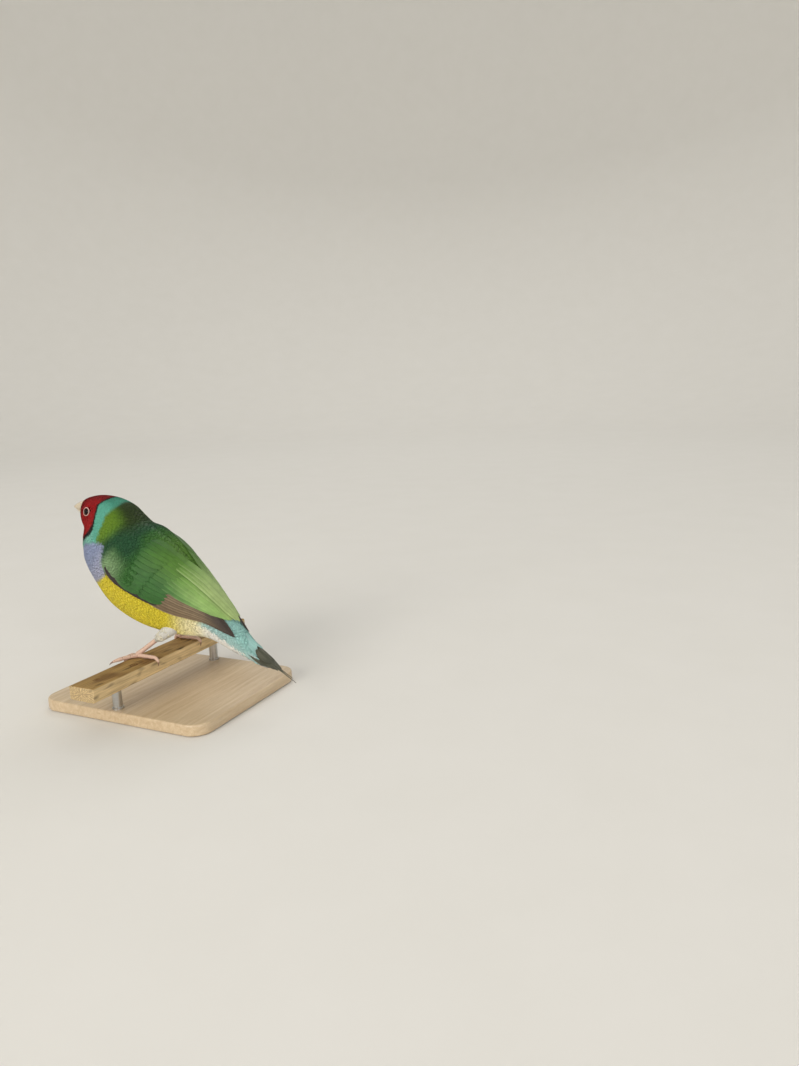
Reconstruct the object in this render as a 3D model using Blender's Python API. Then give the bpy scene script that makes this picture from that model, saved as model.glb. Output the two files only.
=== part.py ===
# Gouldian finch, an adult male, gripping a short length of wooden perch on a plain display stand.
# The bird faces -X, its left side is -Y, and the origin is at the bottom centre of the whole model.
# Sizes are millimetres in the bird's own terms: forward, right and up from the middle of the perch top.
import math

import bmesh
import bpy
import numpy as np

MM = 0.001
GAP = 0.3                     # clearance between neighbouring pieces
BED_GAP = 0.6                 # a folded wing lies this far off the body's smooth surface

# Perch and stand
PERCH_WIDTH = 13.0
PERCH_FORWARD = -0.9          # the perch's middle lies a little behind the bird's own zero
PERCH_DEPTH = 6.0
PERCH_LENGTH = 100.0
PERCH_EDGE = 0.5
BASE_SIZE = (88.0, 72.0, 5.0)
BASE_CORNER = 8.0
BASE_EDGE = 0.8
BASE_FORWARD = -3.0
ROD_RADIUS = 2.0
ROD_HEIGHT = 10.0
ROD_SPREAD = 32.0

# Outer reach of the bird
BILL_TIP = (46.2, 63.9)
TAIL_TIP = (-69.4, -7.2)

# Ribs of the body from the covert ends to the face: a point of the back, a point of the belly
# (forward, up), and the half width between them
BODY_RIBS = (
    (-53.3, 3.4, -51.8, -0.4, 3.6),     # ends of the tail coverts
    (-45.5, 11.8, -41.7, 2.9, 4.9),     # tail base
    (-34.0, 25.0, -27.5, 8.2, 7.6),     # rump and vent
    (-22.8, 37.1, -11.0, 8.4, 12.2),
    (-12.2, 47.0, 6.8, 11.4, 15.4),     # back and belly
    (-3.2, 53.0, 21.5, 18.5, 16.2),
    (3.8, 57.3, 30.3, 28.7, 15.8),      # shoulders and breast
    (8.3, 61.3, 36.6, 38.4, 14.2),
    (11.9, 65.0, 37.3, 45.8, 12.0),     # nape and throat
    (17.2, 67.7, 37.1, 50.0, 9.9),
    (23.0, 69.0, 37.0, 52.7, 8.6),      # crown and chin
    (29.0, 69.3, 37.4, 54.9, 7.8),
    (34.0, 68.6, 37.7, 57.0, 6.3),      # forehead
    (37.8, 67.5, 38.1, 59.3, 4.1),      # face round the bill
)
TAIL_END, TORSO_END, NECK_END = 0.125, 0.55, 0.70
BODY_SIDES = 28

# Bill
BILL_BASE = 38.2
CULMEN_UP = 67.2
MOUTH_UP = 62.6
MOUTH_RISE = 0.5              # from the gape to the tip
GONYS_UP = 58.9
BILL_HALF_WIDTH = 3.5
BILL_TAPER = 0.8
LOWER_SHORTER = 0.7
LOWER_NARROWER = 0.92
BLUNT_TIP = 0.1
NOSTRIL_RADIUS = 0.42
NOSTRIL_SHARE = 0.14          # place along the bill
NOSTRIL_TURN = 58.0           # degrees up from the mouth line round the upper half

# Eyes
EYE_PLACE = (30.6, 6.15, 62.7)
EYE_RADIUS = 1.85
LID_RADIUS = 1.78
LID_THICKNESS = 0.38
LID_OUT = 1.36                # the lids' ring stands this far out from the eye's middle

# Legs and feet
HEEL = (-8.4, 8.6, 10.2)
FOOT = (2.6, 14.2, 1.5)
TARSUS_RADIUS = 1.02
ANKLE_RISE = 3.2              # the foot's node takes this much of the shank above the toes
THIGH_RADIUS = 3.3
THIGH_REACH = 0.28            # the thigh's feathers cover this share of the shank
# Each front toe: heading outward from straight ahead, length with the claw, and how hard it grips
FRONT_TOES = ((16.0, 10.5, 1.0), (38.0, 14.5, 0.9), (57.0, 13.5, 0.08))
HALLUX_LENGTH = 15.0
TOE_RADIUS = 0.88
BEND_PER_MM = 24.0            # degrees that a gripping toe turns down for each millimetre
MOST_BEND = 105.0
TOE_PADS = (1.0, 1.06, 0.92, 1.02, 0.9, 1.0, 0.86, 0.92, 0.66, 0.5, 0.34, 0.12)

# Feathers of a folded wing, from the lower edge up to the back. Each flight vane: places along the
# body and degrees round it for root and tip, with its width
FLIGHT_VANES = (
    ((0.320, 86.0), (0.094, 62.0), 4.6),     # outer primaries
    ((0.318, 80.0), (0.086, 53.0), 4.8),
    ((0.316, 74.0), (0.094, 44.0), 4.8),
    ((0.314, 68.0), (0.106, 36.0), 4.8),
    ((0.312, 61.0), (0.118, 31.0), 5.0),     # inner primary
    ((0.310, 53.0), (0.132, 27.0), 5.4),     # secondaries
    ((0.308, 45.0), (0.130, 22.0), 5.6),
    ((0.306, 36.0), (0.126, 17.0), 5.8),
    ((0.304, 27.0), (0.104, 12.0), 5.8),     # tertials
    ((0.302, 18.0), (0.150, 10.0), 5.4),
)
PRIMARIES = 5                 # the lowest of these vanes
RIGHT_TIP_SHARE = 0.5         # the right wing's primaries end nearer the back than the left's
LOWER_BOW = 13.0              # degrees that the lowest primary swells towards the belly
MIDLINE_CLEAR = 0.45          # each wing stops this far from the middle of the back
VANE_STEP = 0.1
VANE_SLOPE = 0.12
VANE_THICKNESS = 0.55
TIP_THINNER = 0.35            # share of its thickness that a vane loses by its tip
VANE_SHAPE = ((0.0, 0.7), (0.22, 0.95), (0.45, 1.0), (0.68, 0.92), (0.88, 0.62), (1.0, 0.16))
# Two tiers of coverts: how many, their width, and lowest and highest feather's root, tip and rise
GREATER_COVERTS = (8, 4.4, ((0.330, 84.0), (0.320, 20.0)), ((0.248, 84.0), (0.215, 14.0)), (0.30, 1.05))
MEDIAN_COVERTS = (7, 4.6, ((0.375, 84.0), (0.370, 28.0)), ((0.305, 84.0), (0.280, 20.0)), (0.85, 1.35))
COVERT_EXTRA = 0.1            # coverts are this much thicker than flight feathers

# Bed of the lesser coverts: from place to place, its upper and lower edges in degrees round the
# body and its thickness, each at shares of its length
BED_REACH = (0.455, 0.275)
BED_UPPER = ((0.0, 0.2, 0.5, 1.0), (50, 30, 18, 14))
BED_LOWER = ((0.0, 0.2, 0.5, 1.0), (84, 92, 92, 90))
BED_THICK = ((0.0, 0.3, 0.7, 1.0), (0.6, 1.7, 1.7, 0.8))
BED_EDGE = 0.55

# Tail, measured along its own axis from a point inside the coverts
TAIL_ROOT = (-43.0, 0.0, 8.6)
TAIL_VANE_THICKNESS = 0.53
# Each pair from the middle out: reach, offset of the tip from the midline, half width
TAIL_PAIRS = ((31.3, 0.6, 1.7), (21.5, 1.5, 1.8), (19.2, 2.4, 1.7),
              (17.2, 3.2, 1.6), (15.6, 3.9, 1.5), (14.2, 4.5, 1.4))
PIN_SHORTER = 2.6             # the right central pin ends this much before the left
TAIL_STEP = 0.2               # each pair lies this much below the one inside it
OUTER_DROOP = 0.05            # slope of a vane's outer edge
BLADE = ((0.0, 0.6), (0.3, 0.95), (0.55, 1.0), (0.78, 0.88), (0.93, 0.5), (1.0, 0.14))
PIN_BLADE = ((0.0, 0.6), (0.3, 0.95), (0.52, 0.95), (0.66, 0.5), (0.76, 0.25), (1.0, 0.15))
TAIL_COVERT_START, TAIL_COVERT_HALF = 3.0, 1.5
# Coverts over and under the tail: how many, spacing, reach, how much shorter each millimetre to the
# side, height of the middle one, fall of that height to each side, and droop towards the tail
UPPER_COVERTS = (5, 1.25, 14.6, 0.45, 2.3, 0.3, 1.5)
UNDER_COVERTS = (4, 1.5, 12.7, 0.5, -3.0, -0.3, -1.6)

COLOURS = {
    "head_red": (0.42, 0.01, 0.02),
    "neck_green": (0.20, 0.32, 0.03),
    "back_green": (0.04, 0.20, 0.05),
    "belly_yellow": (0.70, 0.55, 0.03),
    "tail_black": (0.03, 0.035, 0.03),
    "bill_ivory": (0.72, 0.62, 0.50),
    "eye_dark": (0.01, 0.006, 0.004),
    "leg_flesh": (0.60, 0.34, 0.28),
    "perch_wood": (0.45, 0.29, 0.14),
    "stand_wood": (0.10, 0.07, 0.05),
    "stand_metal": (0.60, 0.60, 0.58),
}


def place(point):
    """Bird terms in millimetres to model coordinates in metres."""
    forward, right, up = point
    centre = 0.5 * (BILL_TIP[0] + TAIL_TIP[0])
    perch_top = BASE_SIZE[2] + ROD_HEIGHT + PERCH_DEPTH
    return ((centre - forward) * MM, right * MM, (up + perch_top) * MM)


def smooth_row(rows, where):
    """A row of numbers read from a smooth curve through the rows, with where from 0 to 1."""
    last = len(rows) - 1
    along = min(max(where, 0.0), 1.0) * last
    index = min(int(along), last - 1)
    t = along - index
    before = rows[index - 1] if index > 0 else 2 * rows[0] - rows[1]
    here, after = rows[index], rows[index + 1]
    beyond = rows[index + 2] if index < last - 1 else 2 * rows[last] - rows[last - 1]
    return 0.5 * (2 * here + (after - before) * t
                  + (2 * before - 5 * here + 4 * after - beyond) * t ** 2
                  + (3 * here - before - 3 * after + beyond) * t ** 3)


RIB_ROWS = np.array(BODY_RIBS)


def body_point(where, angle, side=1.0):
    """A point of the body's skin: angle 0 on the back, pi on the belly, side -1 for the left."""
    back_f, back_u, belly_f, belly_u, width = smooth_row(RIB_ROWS, where)
    middle = np.array([(back_f + belly_f) / 2, (back_u + belly_u) / 2])
    half = np.array([(back_f - belly_f) / 2, (back_u - belly_u) / 2])
    forward, up = middle + half * math.cos(angle)
    return np.array([forward, side * width * math.sin(angle), up])


def over_body(where, angle, height, side):
    """A point at the given height over the skin."""
    step = 1e-3
    along = body_point(where + step, angle, side) - body_point(where - step, angle, side)
    across = body_point(where, angle + step, side) - body_point(where, angle - step, side)
    normal = np.cross(along, across) * side
    normal /= np.linalg.norm(normal)
    return body_point(where, angle, side) + normal * height


def ring_reach(where, angle):
    """Millimetres on the skin for one radian round the body."""
    step = 1e-3
    return np.linalg.norm(body_point(where, angle + step) - body_point(where, angle - step)) / (2 * step)


def material(name, roughness=0.6, metallic=0.0):
    made = bpy.data.materials.get(name)
    if made is None:
        made = bpy.data.materials.new(name)
        made.use_nodes = True
        shader = made.node_tree.nodes["Principled BSDF"]
        shader.inputs["Base Color"].default_value = (*COLOURS[name], 1.0)
        shader.inputs["Roughness"].default_value = roughness
        shader.inputs["Metallic"].default_value = metallic
    return made


def mesh_of(points, faces):
    """A closed triangle mesh from points in bird terms."""
    mesh = bpy.data.meshes.new("piece")
    mesh.from_pydata([place(point) for point in points], [], faces)
    work = bmesh.new()
    work.from_mesh(mesh)
    bmesh.ops.recalc_face_normals(work, faces=work.faces)
    work.to_mesh(mesh)
    work.free()
    return mesh


def loft(rings):
    """A mesh through rings of equal count, closed by a flat cap at both ends."""
    count = len(rings[0])
    points = [point for ring in rings for point in ring]
    faces = []
    for level in range(len(rings) - 1):
        low, high = level * count, (level + 1) * count
        for i in range(count):
            j = (i + 1) % count
            faces.append((low + i, low + j, high + j))
            faces.append((low + i, high + j, high + i))
    last = (len(rings) - 1) * count
    faces.append(tuple(range(count)))
    faces.append(tuple(range(last, last + count)))
    return mesh_of(points, faces)


def boolean(base, others, operation):
    """The base mesh after one Boolean with all the others."""
    scene = bpy.context.scene
    target = bpy.data.objects.new("target", base)
    scene.collection.objects.link(target)
    group = bpy.data.collections.new("operands")
    scene.collection.children.link(group)
    for mesh in others:
        group.objects.link(bpy.data.objects.new("operand", mesh))
    change = target.modifiers.new("join", "BOOLEAN")
    change.operand_type = "COLLECTION"
    change.collection = group
    change.operation = operation
    graph = bpy.context.evaluated_depsgraph_get()
    result = bpy.data.meshes.new_from_object(target.evaluated_get(graph))
    for used in list(group.objects):
        bpy.data.objects.remove(used)
    bpy.data.collections.remove(group)
    bpy.data.objects.remove(target)
    return result


def largest_surface(mesh):
    """Keeps the closed surface that holds the most volume."""
    work = bmesh.new()
    work.from_mesh(mesh)
    bmesh.ops.triangulate(work, faces=work.faces)
    left = set(work.faces)
    shells = []
    while left:
        stack = [left.pop()]
        shell = []
        while stack:
            face = stack.pop()
            shell.append(face)
            for edge in face.edges:
                for other in edge.link_faces:
                    if other in left:
                        left.discard(other)
                        stack.append(other)
        shells.append(shell)

    def volume(shell):
        total = 0.0
        for face in shell:
            a, b, c = (vertex.co for vertex in face.verts)
            total += a.dot(b.cross(c))
        return abs(total)

    keep = max(shells, key=volume)
    for shell in shells:
        if shell is not keep:
            bmesh.ops.delete(work, geom=shell, context="FACES")
    loose = [vertex for vertex in work.verts if not vertex.link_faces]
    bmesh.ops.delete(work, geom=loose, context="VERTS")
    work.to_mesh(mesh)
    work.free()
    return mesh


def node(name, mesh, surface, smooth=True):
    made = bpy.data.objects.new(name, mesh)
    bpy.context.scene.collection.objects.link(made)
    mesh.materials.clear()
    mesh.materials.append(surface)
    if smooth:
        mesh.shade_smooth()
        mesh.set_sharp_from_angle(angle=math.radians(40))
    return made


def body_ring(where, shift=0.0, grow=0.0):
    """One rib of the body, moved along the body by shift and made larger by grow."""
    back_f, back_u, belly_f, belly_u, width = smooth_row(RIB_ROWS, where)
    half = np.array([(back_f - belly_f) / 2, (back_u - belly_u) / 2])
    middle = np.array([(back_f + belly_f) / 2, (back_u + belly_u) / 2])
    length = np.linalg.norm(half)
    unit = half / length
    middle = middle + shift * np.array([unit[1], -unit[0]])
    ring = []
    for i in range(BODY_SIDES):
        angle = 2 * math.pi * i / BODY_SIDES
        forward, up = middle + unit * (length + grow) * math.cos(angle)
        ring.append((forward, (width + grow) * math.sin(angle), up))
    return ring


def body_section(start, end, levels, grow=0.0):
    """The body between two places, each cut face drawn in by half of the gap."""
    rings = []
    for i in range(levels + 1):
        where = start + (end - start) * i / levels
        shift = {0: GAP / 2, levels: -GAP / 2}.get(i, 0.0)
        rings.append(body_ring(where, shift, grow))
    return loft(rings)


def tube(path, radii, sides):
    """A tapered tube along a path of points."""
    path = [np.array(point, float) for point in path]
    rings = []
    side_way = None
    for i, point in enumerate(path):
        ahead = path[min(i + 1, len(path) - 1)] - path[max(i - 1, 0)]
        ahead /= np.linalg.norm(ahead)
        if side_way is None:
            side_way = np.cross(ahead, (0.0, 0.0, 1.0))
            if np.linalg.norm(side_way) < 0.1:
                side_way = np.cross(ahead, (0.0, 1.0, 0.0))
        side_way = side_way - ahead * side_way.dot(ahead)
        side_way /= np.linalg.norm(side_way)
        up_way = np.cross(side_way, ahead)
        ring = []
        for k in range(sides):
            angle = 2 * math.pi * k / sides
            ring.append(point + radii[i] * (side_way * math.cos(angle) + up_way * math.sin(angle)))
        rings.append(ring)
    return loft(rings)


def ball(centre, radius, rounds=16, levels=10, squash=(1.0, 1.0, 1.0)):
    points = [(centre[0], centre[1], centre[2] - radius * squash[2])]
    for level in range(1, levels):
        lift = math.pi * level / levels
        for k in range(rounds):
            angle = 2 * math.pi * k / rounds
            points.append((centre[0] + squash[0] * radius * math.sin(lift) * math.cos(angle),
                           centre[1] + squash[1] * radius * math.sin(lift) * math.sin(angle),
                           centre[2] - squash[2] * radius * math.cos(lift)))
    points.append((centre[0], centre[1], centre[2] + radius * squash[2]))
    top = len(points) - 1
    faces = []
    for k in range(rounds):
        j = (k + 1) % rounds
        faces.append((0, 1 + j, 1 + k))
        for level in range(levels - 2):
            low, high = 1 + level * rounds, 1 + (level + 1) * rounds
            faces.append((low + k, low + j, high + j))
            faces.append((low + k, high + j, high + k))
        low = 1 + (levels - 2) * rounds
        faces.append((low + k, low + j, top))
    return mesh_of(points, faces)


def lid_ring(side):
    """The swollen rim of bare skin round one eye."""
    rounds, around = 20, 8
    centre = np.array([EYE_PLACE[0], side * (EYE_PLACE[1] + LID_OUT), EYE_PLACE[2]])
    points = []
    for k in range(rounds):
        turn = 2 * math.pi * k / rounds
        way = np.array([math.cos(turn), 0.0, math.sin(turn)])
        for j in range(around):
            angle = 2 * math.pi * j / around
            points.append(centre + way * (LID_RADIUS + LID_THICKNESS * math.cos(angle))
                          + np.array([0.0, LID_THICKNESS * math.sin(angle), 0.0]))
    faces = []
    for k in range(rounds):
        for j in range(around):
            a = k * around + j
            b = k * around + (j + 1) % around
            c = ((k + 1) % rounds) * around + (j + 1) % around
            d = ((k + 1) % rounds) * around + j
            faces.append((a, b, c))
            faces.append((a, c, d))
    return mesh_of(points, faces)


def bill_slice(upper, share):
    """A slice of one half of the bill: forward, half width, mouth line and outer ridge."""
    reach = BILL_TIP[0] - BILL_BASE - GAP - (0.0 if upper else LOWER_SHORTER)
    taper = (1 - 0.98 * share) ** BILL_TAPER
    mouth = MOUTH_UP + MOUTH_RISE * share + (GAP / 2 if upper else -GAP / 2)
    tip = BILL_TIP[1] - (0.0 if upper else LOWER_SHORTER)
    outer = tip + ((CULMEN_UP if upper else GONYS_UP) - tip) * taper
    outer = max(outer, mouth + BLUNT_TIP) if upper else min(outer, mouth - BLUNT_TIP)
    width = BILL_HALF_WIDTH * taper * (1.0 if upper else LOWER_NARROWER) + BLUNT_TIP
    return BILL_BASE + GAP + reach * share, width, mouth, outer


def bill_point(upper, share, turn):
    """A point of the bill's surface, with turn from one corner of the mouth to the other."""
    forward, width, mouth, outer = bill_slice(upper, share)
    return (forward, width * math.cos(turn), mouth + (outer - mouth) * math.sin(turn))


def bill_half(upper):
    """One half of the bill, a short cone whose flat side is the line of the mouth."""
    levels, arc = 8, 9
    return loft([[bill_point(upper, i / levels, math.pi * k / (arc - 1)) for k in range(arc)]
                 for i in range(levels + 1)])


def bill_upper():
    """The upper half with a nostril sunk in each side of its base."""
    turn = math.radians(NOSTRIL_TURN)
    pits = [ball(bill_point(True, NOSTRIL_SHARE, angle), NOSTRIL_RADIUS, 10, 6)
            for angle in (turn, math.pi - turn)]
    return boolean(bill_half(True), pits, "DIFFERENCE")


def wing_bed(side):
    """The smooth shell of the lesser coverts, from its upper to its lower edge."""
    levels, steps = 20, 9
    rings = []
    for i in range(levels + 1):
        t = i / levels
        where = BED_REACH[0] + (BED_REACH[1] - BED_REACH[0]) * t
        high = math.radians(np.interp(t, *BED_UPPER))
        low = math.radians(np.interp(t, *BED_LOWER))
        depth = np.interp(t, *BED_THICK)
        outer, inner = [], []
        for k in range(steps):
            across = k / (steps - 1)
            angle = high + (low - high) * across
            crown = BED_EDGE + (depth - BED_EDGE) * math.sin(math.pi * across) ** 0.6
            outer.append(over_body(where, angle, BED_GAP + crown, side))
            inner.append(over_body(where, angle, BED_GAP, side))
        rings.append(outer + inner[::-1])
    return loft(rings)


def vane(stations):
    """A thin tapered blade. Each station has three points below and three above, edge to edge."""
    points = []
    for below, above in stations:
        points.extend(below)
        points.extend(above)
    faces = [(0, 1, 4), (0, 4, 3), (1, 2, 5), (1, 5, 4)]
    last = 6 * (len(stations) - 1)
    faces += [(last, last + 4, last + 1), (last, last + 3, last + 4)]
    faces += [(last + 1, last + 5, last + 2), (last + 1, last + 4, last + 5)]
    for level in range(len(stations) - 1):
        low, high = 6 * level, 6 * (level + 1)
        for a, b in ((0, 1), (1, 2)):
            faces += [(low + a, low + b, high + b), (low + a, high + b, high + a)]
            faces += [(low + a + 3, high + b + 3, low + b + 3), (low + a + 3, high + a + 3, high + b + 3)]
        for a, b in ((0, 3), (2, 5)):
            faces += [(low + a, high + b, low + b), (low + a, high + a, high + b)]
    return mesh_of(points, faces)


def wing_vane(side, root, tip, width, lift, thickness, sink, bow=0.0):
    """A feather that lies along the body, its outer edge a little higher than its inner one."""
    stations = []
    for along, share in VANE_SHAPE:
        where = root[0] + (tip[0] - root[0]) * along
        angle = math.radians(root[1] + (tip[1] - root[1]) * along + bow * math.sin(math.pi * along))
        reach = ring_reach(where, angle)
        half = share * width / 2
        angle = max(angle, (half + MIDLINE_CLEAR) / reach)
        height = BED_GAP + lift + VANE_SLOPE * width / 2 - sink * max(0.0, 1 - along / 0.3)
        below, above = [], []
        for x in (-1, 0, 1):
            turn = angle + x * half / reach
            edge = max(height + VANE_SLOPE * x * half, BED_GAP)
            below.append(over_body(where, turn, edge, side))
            above.append(over_body(where, turn, edge + thickness * (1 - TIP_THINNER * along ** 3), side))
        stations.append((below, above))
    return vane(stations)


def covert_row(side, count, width, roots, tips, lift):
    """A tier of coverts, each overlapping the next one down."""
    row = []
    for i in range(count):
        share = i / (count - 1)
        root = [roots[0][k] + (roots[1][k] - roots[0][k]) * share for k in (0, 1)]
        tip = [tips[0][k] + (tips[1][k] - tips[0][k]) * share for k in (0, 1)]
        rise = lift[0] + (lift[1] - lift[0]) * share
        row.append(wing_vane(side, root, tip, width, rise, VANE_THICKNESS + COVERT_EXTRA, 0.5))
    return row


def wing(side):
    """A folded wing: a bed of lesser coverts, two tiers of coverts and the flight feathers."""
    pieces = []
    for i, (root, tip, width) in enumerate(FLIGHT_VANES):
        if side > 0 and i < PRIMARIES:
            tip = (tip[0], tip[1] * RIGHT_TIP_SHARE)
        bow = LOWER_BOW * (1 - i / (len(FLIGHT_VANES) - 1))
        pieces.append(wing_vane(side, root, tip, width, VANE_STEP * i, VANE_THICKNESS, 0.35, bow))
    for tier in (GREATER_COVERTS, MEDIAN_COVERTS):
        pieces += covert_row(side, *tier)
    return boolean(wing_bed(side), pieces, "UNION")


TAIL_AXIS = np.array([TAIL_TIP[0] - TAIL_ROOT[0], 0.0, TAIL_TIP[1] - TAIL_ROOT[2]])
TAIL_AXIS /= np.linalg.norm(TAIL_AXIS)
TAIL_UP = np.array([TAIL_AXIS[2], 0.0, -TAIL_AXIS[0]])


def tail_vane(start, reach, offset, half, height, shape, droop=0.0):
    """A straight feather along the tail's axis, its outer edge lower than its inner one."""
    stations = []
    for along, share in shape:
        middle = np.array(TAIL_ROOT) + TAIL_AXIS * (start + (reach - start) * along)
        middle = middle + np.array([0.0, offset * (0.35 + 0.65 * along), 0.0])
        middle = middle + TAIL_UP * (height - droop * along)
        thickness = TAIL_VANE_THICKNESS * (1 - TIP_THINNER * along ** 3)
        below, above = [], []
        for x in (-1, 0, 1):
            slope = -OUTER_DROOP * x * half * share * (1 if offset > 0 else -1)
            point = middle + np.array([0.0, x * half * share, 0.0]) + TAIL_UP * slope
            below.append(point)
            above.append(point + TAIL_UP * thickness)
        stations.append((below, above))
    return vane(stations)


def tail_coverts(count, spacing, reach, shorter, height, fall, droop):
    """A tier of coverts across the tail's base, the middle ones longest."""
    row = []
    for i in range(count):
        across = (i - (count - 1) / 2) * spacing
        ends = reach - shorter * abs(across)
        row.append(tail_vane(TAIL_COVERT_START, ends, across, TAIL_COVERT_HALF,
                             height - fall * abs(i - (count - 1) / 2), BLADE, droop))
    return row


def tail():
    """Tail coverts with twelve graduated feathers, the middle two drawn out into fine pins."""
    pieces = []
    for side in (-1, 1):
        for i, (reach, offset, half) in enumerate(TAIL_PAIRS):
            shape = BLADE if i else PIN_BLADE
            ends = reach - PIN_SHORTER if i == 0 and side > 0 else reach
            pieces.append(tail_vane(1.0, ends, side * offset, half, -TAIL_STEP * i - 0.05 * side, shape))
    pieces += tail_coverts(*UPPER_COVERTS)
    pieces += tail_coverts(*UNDER_COVERTS)
    return boolean(body_section(0.0, TAIL_END, 8), pieces, "UNION")


def head():
    solid = body_section(NECK_END, 1.0, 14)
    solid = boolean(solid, [lid_ring(-1), lid_ring(1)], "UNION")
    sockets = [ball((EYE_PLACE[0], side * EYE_PLACE[1], EYE_PLACE[2]), EYE_RADIUS + GAP) for side in (-1, 1)]
    return boolean(solid, sockets, "DIFFERENCE")


def leg(side):
    """Feathered thigh and bare tarsus in one piece, cut clear of the body."""
    heel = np.array([HEEL[0], side * HEEL[1], HEEL[2]])
    down = np.array([FOOT[0], side * FOOT[1], FOOT[2]]) - heel
    length = np.linalg.norm(down)
    shank = down * (1 - (ANKLE_RISE + GAP) / length)
    thigh = tube([heel - 0.35 * shank, heel, heel + 0.5 * THIGH_REACH * shank, heel + THIGH_REACH * shank],
                 [THIGH_RADIUS * 1.1, THIGH_RADIUS * 0.9, THIGH_RADIUS * 0.62, TARSUS_RADIUS * 1.2], 12)
    bare = tube([heel, heel + 0.4 * shank, heel + 0.7 * shank, heel + shank],
                [TARSUS_RADIUS * f for f in (1.0, 1.05, 0.95, 1.1)], 8)
    joined = boolean(thigh, [bare], "UNION")
    return boolean(joined, [body_section(0.06, 0.5, 24, GAP)], "DIFFERENCE")


def toe_path(start, heading, length, side, grip, edge):
    """Points of one toe: level on the perch, then turning down past its edge."""
    steps = len(TOE_PADS) - 1
    turn = math.radians(heading)
    way = np.array([math.cos(turn), side * math.sin(turn), 0.0])
    down = np.array([0.0, 0.0, -1.0])
    point = np.array(start)
    points = [point]
    bend = 0.0
    for _ in range(steps):
        if abs(point[0]) > abs(edge) - 0.8:
            more = math.radians(BEND_PER_MM) * grip * length / steps
            bend = min(bend + more, math.radians(MOST_BEND) * grip)
        point = point + (way * math.cos(bend) + down * math.sin(bend)) * length / steps
        points.append(point)
    return points


def toe(path):
    """A toe with its pads and a claw that tapers to a point."""
    return tube(path, [TOE_RADIUS * share for share in TOE_PADS], 7)


def foot(side):
    level = GAP + TOE_RADIUS * 1.06
    hub = np.array([FOOT[0], side * FOOT[1], level])
    front_edge = PERCH_FORWARD + PERCH_WIDTH / 2
    back_edge = PERCH_FORWARD - PERCH_WIDTH / 2
    pieces = []
    for heading, length, grip in FRONT_TOES:
        pieces.append(toe(toe_path(hub, heading, length, side, grip, front_edge)))
    pieces.append(toe(toe_path(hub, 180.0, HALLUX_LENGTH, side, 1.0, back_edge)))
    heel = np.array([HEEL[0], side * HEEL[1], HEEL[2]])
    sole = np.array([FOOT[0], side * FOOT[1], FOOT[2]])
    way = (sole - heel) / np.linalg.norm(sole - heel)
    shank = tube([sole - way * ANKLE_RISE, sole, sole + way * 0.6],
                 [TARSUS_RADIUS * 1.1, TARSUS_RADIUS * 1.15, TARSUS_RADIUS * 0.6], 8)
    return boolean(shank, pieces, "UNION")


def box(size, centre, edge, corner=0.0):
    """A slab with eased edges, and round corners seen from above where corner is given."""
    work = bmesh.new()
    bmesh.ops.create_cube(work, size=1.0)
    bmesh.ops.scale(work, vec=[value * MM for value in size], verts=work.verts)
    if corner:
        upright = [line for line in work.edges
                   if abs(line.verts[0].co.z - line.verts[1].co.z) > size[2] * MM * 0.9]
        bmesh.ops.bevel(work, geom=upright, offset=corner * MM, segments=6, profile=0.5, affect="EDGES")
    sharp = [line for line in work.edges if line.calc_face_angle() > math.radians(60)]
    bmesh.ops.bevel(work, geom=sharp, offset=edge * MM, segments=2, profile=0.5, affect="EDGES")
    bmesh.ops.translate(work, vec=place(centre), verts=work.verts)
    mesh = bpy.data.meshes.new("slab")
    work.to_mesh(mesh)
    work.free()
    return mesh


def rod(right):
    bottom = -PERCH_DEPTH - ROD_HEIGHT + GAP
    top = -PERCH_DEPTH - GAP
    rings = []
    for up in (bottom, top):
        ring = []
        for k in range(20):
            angle = 2 * math.pi * k / 20
            forward = PERCH_FORWARD + ROD_RADIUS * math.cos(angle)
            ring.append((forward, right + ROD_RADIUS * math.sin(angle), up))
        rings.append(ring)
    return loft(rings)


def build():
    for old in list(bpy.data.objects):
        bpy.data.objects.remove(old)
    node("torso", body_section(TAIL_END, TORSO_END, 24), material("belly_yellow", 0.8))
    node("neck", body_section(TORSO_END, NECK_END, 6), material("neck_green", 0.8))
    node("head", largest_surface(head()), material("head_red", 0.7))
    node("bill_upper", largest_surface(bill_upper()), material("bill_ivory", 0.4))
    node("bill_lower", bill_half(False), material("bill_ivory", 0.4))
    node("tail", largest_surface(tail()), material("tail_black", 0.6))
    for side, name in ((-1, "left"), (1, "right")):
        eye = ball((EYE_PLACE[0], side * EYE_PLACE[1], EYE_PLACE[2]), EYE_RADIUS)
        node("eye_" + name, eye, material("eye_dark", 0.1))
        node("wing_" + name, largest_surface(wing(side)), material("back_green", 0.7))
        node("leg_" + name, largest_surface(leg(side)), material("leg_flesh", 0.6))
        node("foot_" + name, largest_surface(foot(side)), material("leg_flesh", 0.6))
        node("stand_rod_" + name, rod(side * ROD_SPREAD), material("stand_metal", 0.3, 1.0))
    perch_size = (PERCH_WIDTH, PERCH_LENGTH, PERCH_DEPTH)
    node("perch", box(perch_size, (PERCH_FORWARD, 0.0, -PERCH_DEPTH / 2), PERCH_EDGE),
         material("perch_wood", 0.8), False)
    base_up = -PERCH_DEPTH - ROD_HEIGHT - BASE_SIZE[2] / 2
    node("stand_base", box(BASE_SIZE, (BASE_FORWARD, 0.0, base_up), BASE_EDGE, BASE_CORNER),
         material("stand_wood", 0.4), False)


build()
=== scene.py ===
# Gouldian finch, adult male, gripping a cut length of wooden perch on a plain display stand
import math
import bmesh
import bpy
import numpy as np
from mathutils import Matrix, Vector, noise


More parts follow.
